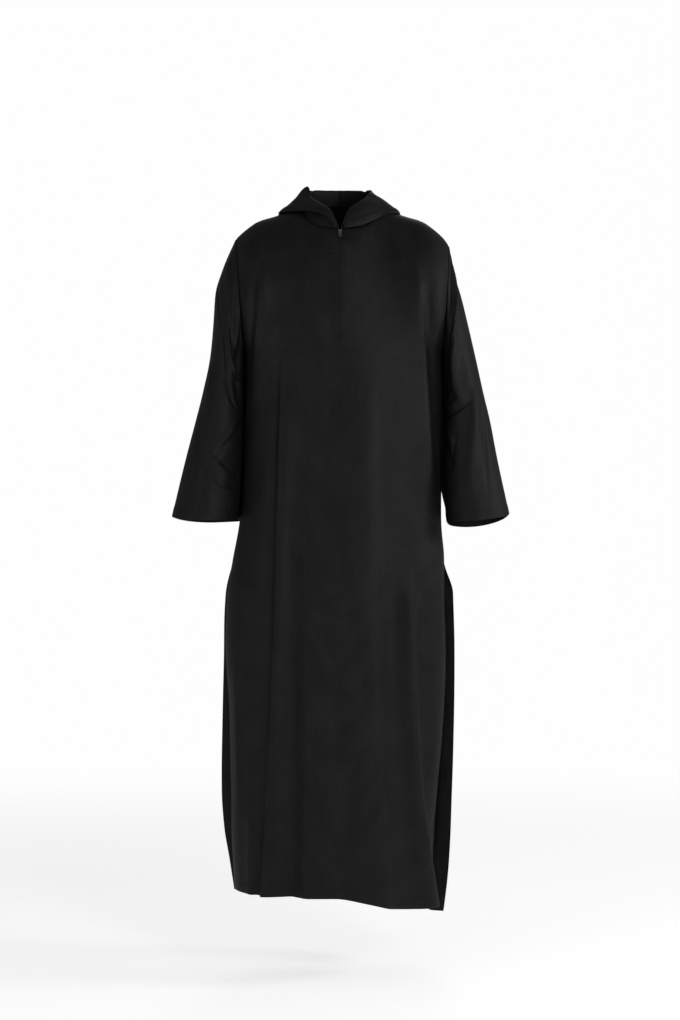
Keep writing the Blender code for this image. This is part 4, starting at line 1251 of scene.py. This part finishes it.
def round_edges(bm, edges, by, segments):
    bmesh.ops.bevel(
        bm, geom=edges, offset=by, segments=segments, profile=0.5, affect="EDGES", material=-1
    )


def at_run(here, run, points):
    """The place or direction at a run along a line."""
    return Vector([np.interp(here, run, points[:, axis]) for axis in range(3)])


def stamp(whole, shape, place, axes):
    """Adds a copy of the shape, placed and turned to the axes given, to the whole."""
    matrix = Matrix.Translation(place) @ axes
    shape.transform(matrix)
    whole.from_mesh(shape)
    shape.transform(matrix.inverted())


def turned(*axes):
    return Matrix(axes).transposed().to_4x4()


def stitch_shape(settings):
    """One stitch along X: a thread that dives into the cloth at both ends."""
    bm = rod(0.5, 1.0, STITCH_SIDES)
    sides = [e for e in bm.edges if abs(e.verts[0].co.x - e.verts[1].co.x) > 0.5]
    bmesh.ops.subdivide_edges(bm, edges=sides, cuts=2)
    for vertex in bm.verts:
        end = abs(vertex.co.x) > STITCH_ENDS
        size = STITCH_END_THICK if end else 1.0
        vertex.co.x = math.copysign(0.5 if end else STITCH_MIDDLE, vertex.co.x)
        vertex.co.y *= size
        vertex.co.z = vertex.co.z * size - (STITCH_END_DEEP if end else 0.0)
    bmesh.ops.recalc_face_normals(bm, faces=bm.faces[:])
    size = settings.stitch_long, settings.thread, settings.thread
    bmesh.ops.scale(bm, vec=size, verts=bm.verts[:])
    return as_mesh(bm, "stitch")


def stitches(name, lines, settings):
    """Rows of stitches along lines of points and normals, joined in one piece."""
    one = stitch_shape(settings)
    bm = bmesh.new()
    half = settings.stitch_long / 2
    for points, normals in lines:
        run = run_of(points, 0)
        for k in range(int(run[-1] / settings.stitch_pitch)):
            here = (k + 0.5) * settings.stitch_pitch
            start, end = [at_run(at, run, points) for at in (here - half, here + half)]
            along = (end - start).normalized()
            side = at_run(here, run, normals).normalized().cross(along).normalized()
            up = along.cross(side)
            stamp(bm, one, (start + end) / 2 + up * STITCH_LIFT, turned(along, side, up))
    bpy.data.meshes.remove(one)
    thread = material("polyester_thread", polyester_thread, settings)
    keep(name, as_mesh(bm, name), thread, BODY)


# ---------------------------------------------------------------- the front and back

def panel_grid():
    """Columns across a panel, beginning at the slit's sides, and rows down it."""
    slit = SLIT_HALF / HALF_GIRTH
    left = slit + (1 - slit) * crowded(*PANEL_COLUMNS)
    return np.meshgrid(np.concatenate([-left[::-1], left]), 2 * crowded(*PANEL_ROWS))


def soften(points, weight, axis, times):
    """Evens the cloth out along one way of its grid, by each point's weight."""
    points = np.moveaxis(points, axis, 0).copy()
    weight = np.moveaxis(weight, axis, 0)[1:-1, :, None]
    for _ in range(times):
        points[1:-1] += weight * (points[:-2] - 2 * points[1:-1] + points[2:]) / 4
    return np.moveaxis(points, 0, axis)


def flare_slits(points, opened):
    """Turns a panel's slit edges to face forward, as loose cloth hangs beside a slit."""
    across = run_of(points, 1)
    for edge, sign, side, turn in (
        (0, -1, across, FLARE_RIGHT), (-1, 1, across[:, -1:] - across, FLARE_LEFT),
    ):
        inward = np.array((-sign * math.cos(turn), math.sin(turn), 0.0))
        forward = points[:, [edge]] + side[..., None] * inward
        share = ease((FLARE_ENDS - side) / (FLARE_ENDS - FLARE_WIDE)) * opened
        level = points[..., 2:].copy()
        points = points + (forward - points) * share[..., None]
        points[..., 2:] = level
    return points


def close_lips(points):
    """Draws the slit's two sides together below the slider."""
    x, z = points[..., 0], points[..., 2]
    closed = ease((LIPS_MEET - z) / LIP_OPENS)
    shift = (SLIT_HALF - LIP_GAP / 2) * closed * bell(np.abs(x) - SLIT_HALF, LIP_DRAWS)
    points[..., 0] = x - np.sign(x) * shift


def panel_cloth(facing, settings):
    """A panel's cloth, how far it is doubled, and the rows that its side slits reach."""
    u, v = panel_grid()
    points = panel_point(u, v, facing)
    inner = ease((1 - np.abs(u)) / SIDE_HOLDS)
    points = soften(points, bell(v - 1, CHEST_EASES) * inner, 0, CHEST_TIMES)
    beside_neck = bell(np.abs(u) - NECK_COLUMNS, NECK_EASES) * ease(v / NECK_HOLDS)
    points = soften(points, beside_neck * (1 - ease(2 * v - 1)), 1, NECK_TIMES)
    opened = ease((v - SLIT_FADE_FROM) / SLIT_FADE)
    if facing < 0:
        close_lips(points)
    else:
        points = flare_slits(points, ease((v - FLARE_FROM) / FLARE_FADE))
    cloth = Cloth(points, np.array((0.0, float(facing), 0.0)))
    rise = seam(cloth.side, cloth.down) * (1 - opened) * (1 - bell(v - 1, UNDERARM_EASES))
    rise += hem(cloth.side, cloth.down, settings.slit_hem) * opened
    rise += seam(cloth.down, cloth.across)
    rise += hem(cloth.foot, cloth.across, settings.skirt_hem)
    slit = doubled(cloth.side, settings.slit_hem) * opened
    layers = np.maximum(doubled(cloth.foot, settings.skirt_hem), slit)
    if facing < 0:
        band, relief = placket(cloth)
        rise += relief
        layers = np.maximum(layers, band)
    cloth.move_out(rise)
    return cloth, layers, v[:, 0] > SLIT_FADE_FROM + SLIT_FADE / 2


def placket(cloth):
    """The doubled cloth round the zip slit, and its folded lips and stitch lines."""
    x, z = cloth.points[..., 0], cloth.points[..., 2]
    off = np.abs(x) - SLIT_HALF
    over = z - PLACKET_END
    band = ease((PLACKET_REACH - off) / FOLD_EDGE) * ease(over / FOLD_EDGE)
    beside_slit = np.where(over > 0, off - PLACKET_REACH + STITCH_INSET, 1.0)
    below_slit = np.where(off < PLACKET_REACH, over - STITCH_INSET, 1.0)
    crest = x - LIP_CREST
    lip = bell(crest, np.where(crest < 0, LIP_WIDE_RIGHT, LIP_WIDE_LEFT))
    lip = lip * ease((z - ZIP_BOTTOM) / LIP_OPENS + 1) * ease((LIPS_MEET - z) / LIP_OPENS)
    return band, (
        PLACKET_RISE * band
        + LIP_RISE * lip
        - STITCH_SINK * bell(beside_slit, STITCH_SPREAD)
        + pucker(beside_slit, cloth.down) * ease(over / LIP_OPENS)
        - STITCH_SINK * bell(below_slit, STITCH_SPREAD)
    )


def placket_lines(cloth):
    """Stitch lines beside the slit, across its end, and the bar tack below."""
    x, z = cloth.points[..., 0], cloth.points[..., 2]
    reach = SLIT_HALF + PLACKET_REACH - STITCH_INSET
    rows = z[:, len(z[0]) // 2] > PLACKET_END + STITCH_INSET
    lines = [cloth.line(x, level, 1, rows) for level in (reach, -reach)]
    for height, right, left in TACKS:
        points, normals = cloth.line(-z, -height, 0)
        near = (points[:, 0] > right) & (points[:, 0] < left)
        lines.append((points[near], normals[near]))
    return lines


def make_panel(name, facing, settings):
    """The panel's sheet and its stitching."""
    cloth, layers, slit_rows = panel_cloth(facing, settings)
    middle = cloth.points[:, cloth.points.shape[1] // 2, 2]
    open_rows = int((middle > ZIP_BOTTOM).sum()) - 1 if facing < 0 else 0
    sheet(name, cloth, layers, settings, -1, open_rows)
    level = settings.slit_hem - STITCH_INSET
    lines = [
        cloth.hem_line(settings.skirt_hem),
        cloth.line(cloth.across, level, 1, slit_rows),
        cloth.line(-cloth.back, -level, 1, slit_rows),
    ]
    if facing < 0:
        lines += placket_lines(cloth)
    stitches(name + "_stitching", lines, settings)


# ---------------------------------------------------------------- making sleeves and hood

def panel_tree():
    """The panels' outer side as one surface, for cloth that lies on it."""
    under = bmesh.new()
    for name in ("front_cloth", "back_cloth"):
        under.from_mesh(bpy.data.objects[name].data)
    tree = BVHTree.FromBMesh(under)
    under.free()
    return tree


def rest_on(cloth, tree, gaps, reach):
    """Moves cloth off the outer side of what it lies on, where that is within reach."""
    for k in np.ndindex(gaps.shape):
        point = Vector(cloth.points[k])
        place, normal, _, away = tree.find_nearest(point)
        short = gaps[k] - (point - place).dot(normal)
        if short > 0 and away < reach:
            cloth.points[k] = point + normal * short


def make_sleeve(name, rows, creases, sign, tree, settings):
    """A sleeve's sheet, seamed along its inner line, with its cuff's hem and stitching."""
    turns = math.pi * (1 + 2 * np.linspace(0, 1, SLEEVE_COLUMNS + 1))
    turn, along = np.meshgrid(turns, crowded(*SLEEVE_ROWS))
    points = sleeve_point(rows, creases, sign, turn, along)
    outward = points - np.array((sign * (rows[-1].outer + rows[-1].inner) / 2, 0.0, 0.0))
    outward[..., 2] = 0
    cloth = Cloth(points, outward, closed=True)
    from_underarm = 180 - np.abs(np.degrees(turn) - 360)
    rise = seam(cloth.down, cloth.side) * (1 - bell(from_underarm, UNDERARM_TURN))
    cloth.move_out(rise + hem(cloth.foot, cloth.side, settings.cuff_hem))
    lies = ease((UNDERARM - cloth.points[..., 2]) / UNDERARM_FADE)
    rest_on(cloth, tree, UNDERARM_CLEAR - SLEEVE_REACH * (1 - lies), SLEEVE_REACH)
    layers = doubled(cloth.foot, settings.cuff_hem)
    close_tube(sheet(name, cloth, layers, settings, -1))
    stitches(name + "_stitching", [cloth.hem_line(settings.cuff_hem)], settings)


def make_hood(name, rows, sign, tree, settings):
    """Half of the hood, from the zip round to the centre back seam."""
    start = neck_turn(SLIT_HALF / HALF_GIRTH / NECK_COLUMNS)
    angles = start + (math.pi - start) * crowded(*HOOD_COLUMNS)
    angle, rise = np.meshgrid(angles, crowded(*HOOD_ROWS))
    degrees = np.degrees(angle)
    outward = np.stack([sign * np.sin(angle), -np.cos(angle), 0 * angle], -1)
    outward *= (rise < HOOD_OUTSIDE)[..., None]
    cloth = Cloth(hood_point(rows, sign, angle, rise), outward)
    inside = np.sin(math.pi * np.clip(rise, 0, 1)) ** 0.5
    crease = crease_rise(HOOD_CREASES, degrees, rise, HOOD_ROUND, HOOD_RUN)
    tip = ease(degrees / HOOD_TIP_FADE)
    out = crease * inside * (ease(cloth.back / HOOD_SEAM_FADE) * tip)
    out += hem(cloth.foot, cloth.across, settings.hood_hem) * tip
    cloth.move_out(out + seam(cloth.back, cloth.down))
    layers = doubled(cloth.foot, settings.hood_hem)
    wall = settings.wall + (settings.hem_wall - settings.wall) * layers
    lies = ease((rise - HOOD_LIES) / HOOD_LIES)
    rest_on(cloth, tree, wall / 2 + LAP_GAP - HOOD_REACH * (1 - lies), HOOD_REACH)
    sheet(name, cloth, layers, settings, 0)
    points, normals = cloth.hem_line(settings.hood_hem)
    lines = [(points + way * settings.hem_wall / 2, way) for way in (normals, -normals)]
    stitches(name + "_stitching", lines, settings)


# ---------------------------------------------------------------- the zip

def zip_centre(drops):
    """Places down the slit's middle line, at heights below the neckline."""
    quarter = np.arccos(1 - np.asarray(drops, float) / (NECKLINE[0].height - UNDERARM))
    return panel_point(0.0, quarter / (math.pi / 2), -1)


def zip_frame():
    """Where the slider stands on the front's centre line, and how far it leans back."""
    top, place, bottom = zip_centre(SLIDER_BELOW_NECK + SLIDER_LONG / 2 * np.array([-1, 0, 1]))
    return Vector(place), math.atan2(top[1] - bottom[1], top[2] - bottom[2])


def make_tape(settings, cloth_settings):
    """The woven tape behind the slit, on the front's own form."""
    reach = TAPE_HALF / HALF_GIRTH
    drop = NECKLINE[0].height - ZIP_BOTTOM + TAPE_BEYOND
    last = float(np.arccos(1 - drop / (NECKLINE[0].height - UNDERARM)) / (math.pi / 2))
    columns = np.linspace(-reach, reach, TAPE_COLUMNS + 1)
    u, v = np.meshgrid(columns, np.linspace(0, last, TAPE_ROWS + 1))
    cloth = Cloth(panel_point(u, v, -1), np.array((0.0, -1.0, 0.0)))
    cloth.move_out(np.full_like(u, -cloth_settings.hem_wall - SEAM_GAP))
    mesh = grid_mesh("zip_tape_cloth", cloth)[0]
    tape = material("woven_tape", woven_tape, settings)
    obj = keep("zip_tape_cloth", mesh, tape, BODY, ["zip_tape"])
    give_wall(obj, settings.tape_wall, -1)


def make_coil(settings):
    """The closed coil: a slanting bar of filament for each half turn."""
    drop = NECKLINE[0].height - ZIP_BOTTOM - settings.coil_pitch
    centre = zip_centre(np.linspace(COIL_TOP, drop, COIL_SAMPLES))
    run = run_of(centre, 0)
    bm = bmesh.new()
    bar = rod(settings.coil_thick / 2, settings.coil_wide, COIL_SIDES)
    ends = [e for e in bar.edges if abs(e.verts[0].co.x - e.verts[1].co.x) < SAME_PLACE]
    round_edges(bar, ends, settings.coil_thick * COIL_ROUND, RIM_SEGMENTS)
    shape = as_mesh(bar, "coil_bar")
    across = Vector((1, 0, 0))
    for k in range(int(run[-1] / settings.coil_pitch)):
        here = k * settings.coil_pitch
        place = at_run(here, run, centre)
        ahead = at_run(here + COIL_AHEAD, run, centre) - place
        if ahead.length > COIL_ENDS:
            down = ahead.normalized()
        out = down.cross(across).normalized()
        if out.y > 0:
            out = -out
        slant = Matrix.Rotation(COIL_SLANT * (1 if k % 2 else -1), 4, out)
        axes = turned(across, out, across.cross(out))
        stamp(bm, shape, place - out * COIL_DEPTH, slant @ axes)
    bpy.data.meshes.remove(shape)
    coil = material("nylon_coil", nylon_coil)
    keep("zip_coil", as_mesh(bm, "zip_coil"), coil, BODY)


def block(size, centre, bevel, taper=1.0):
    """A box with rounded edges, narrower at its foot by the taper."""
    bm = bmesh.new()
    bmesh.ops.create_cube(bm, size=1)
    for vertex in bm.verts:
        if vertex.co.z < 0:
            vertex.co.x *= taper
    bmesh.ops.scale(bm, vec=size, verts=bm.verts[:])
    round_edges(bm, bm.edges[:], bevel, BLOCK_SEGMENTS)
    bmesh.ops.translate(bm, vec=centre, verts=bm.verts[:])
    return bm


def joined(name, shapes, matrix):
    """One mesh of several shapes, placed."""
    whole = bmesh.new()
    for bm in shapes:
        part = as_mesh(bm, "part")
        whole.from_mesh(part)
        bpy.data.meshes.remove(part)
    bmesh.ops.transform(whole, matrix=matrix, verts=whole.verts[:])
    bmesh.ops.recalc_face_normals(whole, faces=whole.faces[:])
    return as_mesh(whole, name)


def make_slider(settings):
    """The slider: its tapered body, the neck through the slit, and the pull's bar on lugs."""
    place, lean = zip_frame()
    front = -(SLIDER_LIFT + SLIDER_THICK)
    lug_deep = LUG_REACH + SLIDER_THICK / 2
    lug_y = front + SLIDER_THICK / 2 - lug_deep / 2
    bar = rod(BAR_RADIUS, LUG_APART + LUG_WIDE, ROD_SIDES)
    bar_y = -(SLIDER_LIFT + SLIDER_THICK + LUG_REACH - BAR_RADIUS - EYE_WALL / 2)
    bmesh.ops.translate(bar, vec=(0, bar_y, BAR_ALONG), verts=bar.verts[:])
    neck_size = SLIDER_NECK, SLIDER_THICK * SLIDER_NECK_DEEP, SLIDER_LONG * SLIDER_NECK_LONG
    shapes = [
        block(
            (SLIDER_WIDE, SLIDER_THICK, SLIDER_LONG),
            (0, -(SLIDER_LIFT + SLIDER_THICK / 2), 0), SLIDER_ROUND, SLIDER_TAPER,
        ),
        block(neck_size, (0, 0, 0), NECK_ROUND),
        bar,
    ]
    for sign in (-1, 1):
        centre = (sign * ((LUG_APART + LUG_WIDE) / 2), lug_y, BAR_ALONG)
        shapes.append(block((LUG_WIDE, lug_deep, LUG_LONG), centre, LUG_ROUND))
    matrix = Matrix.Translation(place) @ Matrix.Rotation(-lean, 4, "X")
    nickel = material("nickel_plate", plated_zinc, settings.slider_colour, NICKEL_ROUGHNESS)
    mesh = joined("zip_slider_metal", shapes, matrix)
    keep("zip_slider_metal", mesh, nickel, BODY, ["zip_slider"])
    return lean


def make_pull(settings, lean):
    """The pull: an eye round the bar, a short neck and a rounded tab with a slot."""
    wide = LUG_APART - 2 * SEAM_GAP
    outer = EYE_RADIUS + EYE_WALL
    tab_long = PULL_LONG - PULL_NECK
    tab = bmesh.new()
    for half_x, half_z, power, centre_z in (
        (PULL_WIDE / 2, tab_long / 2, PULL_POWER, -PULL_NECK - tab_long / 2),
        (PULL_WIDE * SLOT_WIDE, tab_long * SLOT_LONG, SLOT_POWER,
         -PULL_NECK - tab_long * SLOT_DROP),
    ):
        ring = bmesh.ops.create_circle(tab, cap_ends=False, segments=PULL_SIDES, radius=1)
        for vertex in ring["verts"]:
            x, z = vertex.co.x, vertex.co.y
            vertex.co.x = math.copysign(abs(x) ** (2 / power), x) * half_x
            vertex.co.z = math.copysign(abs(z) ** (2 / power), z) * half_z + centre_z
            vertex.co.y = PULL_THICK / 2
    bmesh.ops.bridge_loops(tab, edges=tab.edges[:])
    sides = bmesh.ops.extrude_face_region(tab, geom=tab.faces[:])["geom"]
    back = [item for item in sides if isinstance(item, bmesh.types.BMVert)]
    bmesh.ops.translate(tab, vec=(0, -PULL_THICK, 0), verts=back)
    bmesh.ops.recalc_face_normals(tab, faces=tab.faces[:])
    rims = [e for e in tab.edges if len(e.link_faces) == 2 and e.calc_face_angle() > SHARP]
    round_edges(tab, rims, PULL_ROUND, RIM_SEGMENTS)
    neck_long = PULL_NECK + PULL_THICK
    neck_place = (0, 0, -outer * EYE_OVERLAP - neck_long / 2)
    neck = block((wide, PULL_THICK, neck_long), neck_place, PULL_ROUND)
    matrix = Matrix.Translation(PULL_BAR) @ Matrix.Rotation(PULL_TILT - lean, 4, "X")
    gunmetal = material("gunmetal_plate", plated_zinc, settings.pull_colour, GUNMETAL_ROUGHNESS)
    mesh = joined("zip_pull_metal", [rod(outer, wide, ROD_SIDES), neck, tab], matrix)
    keep("zip_pull_metal", mesh, gunmetal, PULL_BODY, ["zip_pull"])


# ---------------------------------------------------------------- the studio

def light(name, power, size, place, aim, colour):
    data = bpy.data.lights.new(name, "AREA")
    data.energy = power
    data.shape = "DISK"
    data.size = size
    data.color = linear(colour)[:3]
    obj = new_object(name, data)
    obj.location = place
    obj.rotation_euler = (Vector((0, 0, aim)) - Vector(place)).to_track_quat("-Z", "Y").to_euler()


def studio_world(settings):
    """An even pale studio: bright behind everything, softer as a light."""
    world = bpy.data.worlds.new("studio")
    bpy.context.scene.world = world
    world.use_nodes = True
    tree = world.node_tree
    even = tree.nodes["Background"]
    fill(even, {"Strength": settings.ambient, "Color": WHITE})
    seen = add(tree, "LightPath", {}, "Is Camera Ray")
    bright = add(tree, "Background", {"Color": WHITE, "Strength": settings.backdrop})
    blend = add(tree, "MixShader", {0: seen, 1: even.outputs[0], 2: bright})
    fill(tree.nodes["World Output"], {"Surface": blend})


def make_stage(settings):
    """The floor, the lights, the even studio round them and the camera."""
    bm = bmesh.new()
    level = Matrix.Translation((0, 0, settings.floor))
    bmesh.ops.create_circle(
        bm, cap_ends=True, segments=FLOOR_SIDES, radius=FLOOR_RADIUS, matrix=level
    )
    mesh = as_mesh(bm, "floor")
    mesh.materials.append(material("studio_floor", studio_floor, settings))
    floor = new_object("floor", mesh)
    for name, *lamp in LAMPS:
        light(name, getattr(settings, name), *lamp)
    studio_world(settings)
    bpy.context.scene.view_settings.view_transform = "Standard"
    data = bpy.data.cameras.new("camera")
    data.sensor_width = SENSOR
    data.lens = data.sensor_width * settings.distance / settings.frame_high
    camera = new_object("camera", data)
    camera.location = (0, -settings.distance, settings.eye)
    camera.rotation_euler = (math.pi / 2, 0, 0)
    bpy.context.scene.camera = camera


# ---------------------------------------------------------------- operators

class RobeOperator:
    """What the robe's operators share"""

    bl_options = {"REGISTER", "UNDO"}


class ROBE_OT_front(RobeOperator, bpy.types.Operator):
    """Make the front with its placket, hem and side slits"""

    bl_idname = "robe.front"
    bl_label = "Front"

    def execute(self, context):
        make_panel("front", -1, context.scene.robe_cloth)
        return {"FINISHED"}


class ROBE_OT_back(RobeOperator, bpy.types.Operator):
    """Make the back with its hem and side slits"""

    bl_idname = "robe.back"
    bl_label = "Back"

    def execute(self, context):
        make_panel("back", 1, context.scene.robe_cloth)
        return {"FINISHED"}


class ROBE_OT_sleeves(RobeOperator, bpy.types.Operator):
    """Make both sleeves with their cuffs"""

    bl_idname = "robe.sleeves"
    bl_label = "Sleeves"

    def execute(self, context):
        settings = context.scene.robe_cloth
        tree = panel_tree()
        make_sleeve("sleeve_right", SLEEVE_RIGHT, RIGHT_CREASES, -1, tree, settings)
        make_sleeve("sleeve_left", SLEEVE_LEFT, LEFT_CREASES, 1, tree, settings)
        return {"FINISHED"}


class ROBE_OT_hood(RobeOperator, bpy.types.Operator):
    """Make the hood, folded down on the front and back"""

    bl_idname = "robe.hood"
    bl_label = "Hood"

    def execute(self, context):
        settings = context.scene.robe_cloth
        tree = panel_tree()
        make_hood("hood_right", HOOD_RIGHT, -1, tree, settings)
        make_hood("hood_left", HOOD_LEFT, 1, tree, settings)
        return {"FINISHED"}


class ROBE_OT_zip(RobeOperator, bpy.types.Operator):
    """Make the zip's tape, coil, slider and pull"""

    bl_idname = "robe.zip"
    bl_label = "Zip"

    def execute(self, context):
        settings = context.scene.robe_zip
        make_tape(settings, context.scene.robe_cloth)
        make_coil(settings)
        make_pull(settings, make_slider(settings))
        return {"FINISHED"}


class ROBE_OT_stage(RobeOperator, bpy.types.Operator):
    """Make the studio floor, lights and camera"""

    bl_idname = "robe.stage"
    bl_label = "Studio"

    def execute(self, context):
        make_stage(context.scene.robe_stage)
        return {"FINISHED"}


class ROBE_PT_panel(bpy.types.Panel):
    """Sizes, colours and steps of the robe"""

    bl_idname = "ROBE_PT_panel"
    bl_label = "Djellaba robe"
    bl_space_type = "VIEW_3D"
    bl_region_type = "UI"
    bl_category = "Robe"

    def draw(self, context):
        for step in STEPS:
            self.layout.operator(step.bl_idname)
        for name in ("robe_cloth", "robe_zip", "robe_stage"):
            settings = getattr(context.scene, name)
            box = self.layout.box()
            for key in settings.__annotations__:
                box.prop(settings, key)


STEPS = (
    ROBE_OT_front, ROBE_OT_back, ROBE_OT_sleeves, ROBE_OT_hood, ROBE_OT_zip, ROBE_OT_stage,
)
GROUPS = {
    "robe_cloth": RobeClothSettings,
    "robe_zip": RobeZipSettings,
    "robe_stage": RobeStageSettings,
}


def register():
    for name, group in GROUPS.items():
        bpy.utils.register_class(group)
        setattr(bpy.types.Scene, name, bpy.props.PointerProperty(type=group))
    for item in (*STEPS, ROBE_PT_panel):
        bpy.utils.register_class(item)


def unregister():
    for item in (ROBE_PT_panel, *reversed(STEPS)):
        bpy.utils.unregister_class(item)
    for name, group in GROUPS.items():
        delattr(bpy.types.Scene, name)
        bpy.utils.unregister_class(group)


def main():
    register()
    bpy.ops.robe.front()
    bpy.ops.robe.back()
    bpy.ops.robe.sleeves()
    bpy.ops.robe.hood()
    bpy.ops.robe.zip()
    bpy.ops.robe.stage()


if __name__ == "__main__":
    main()
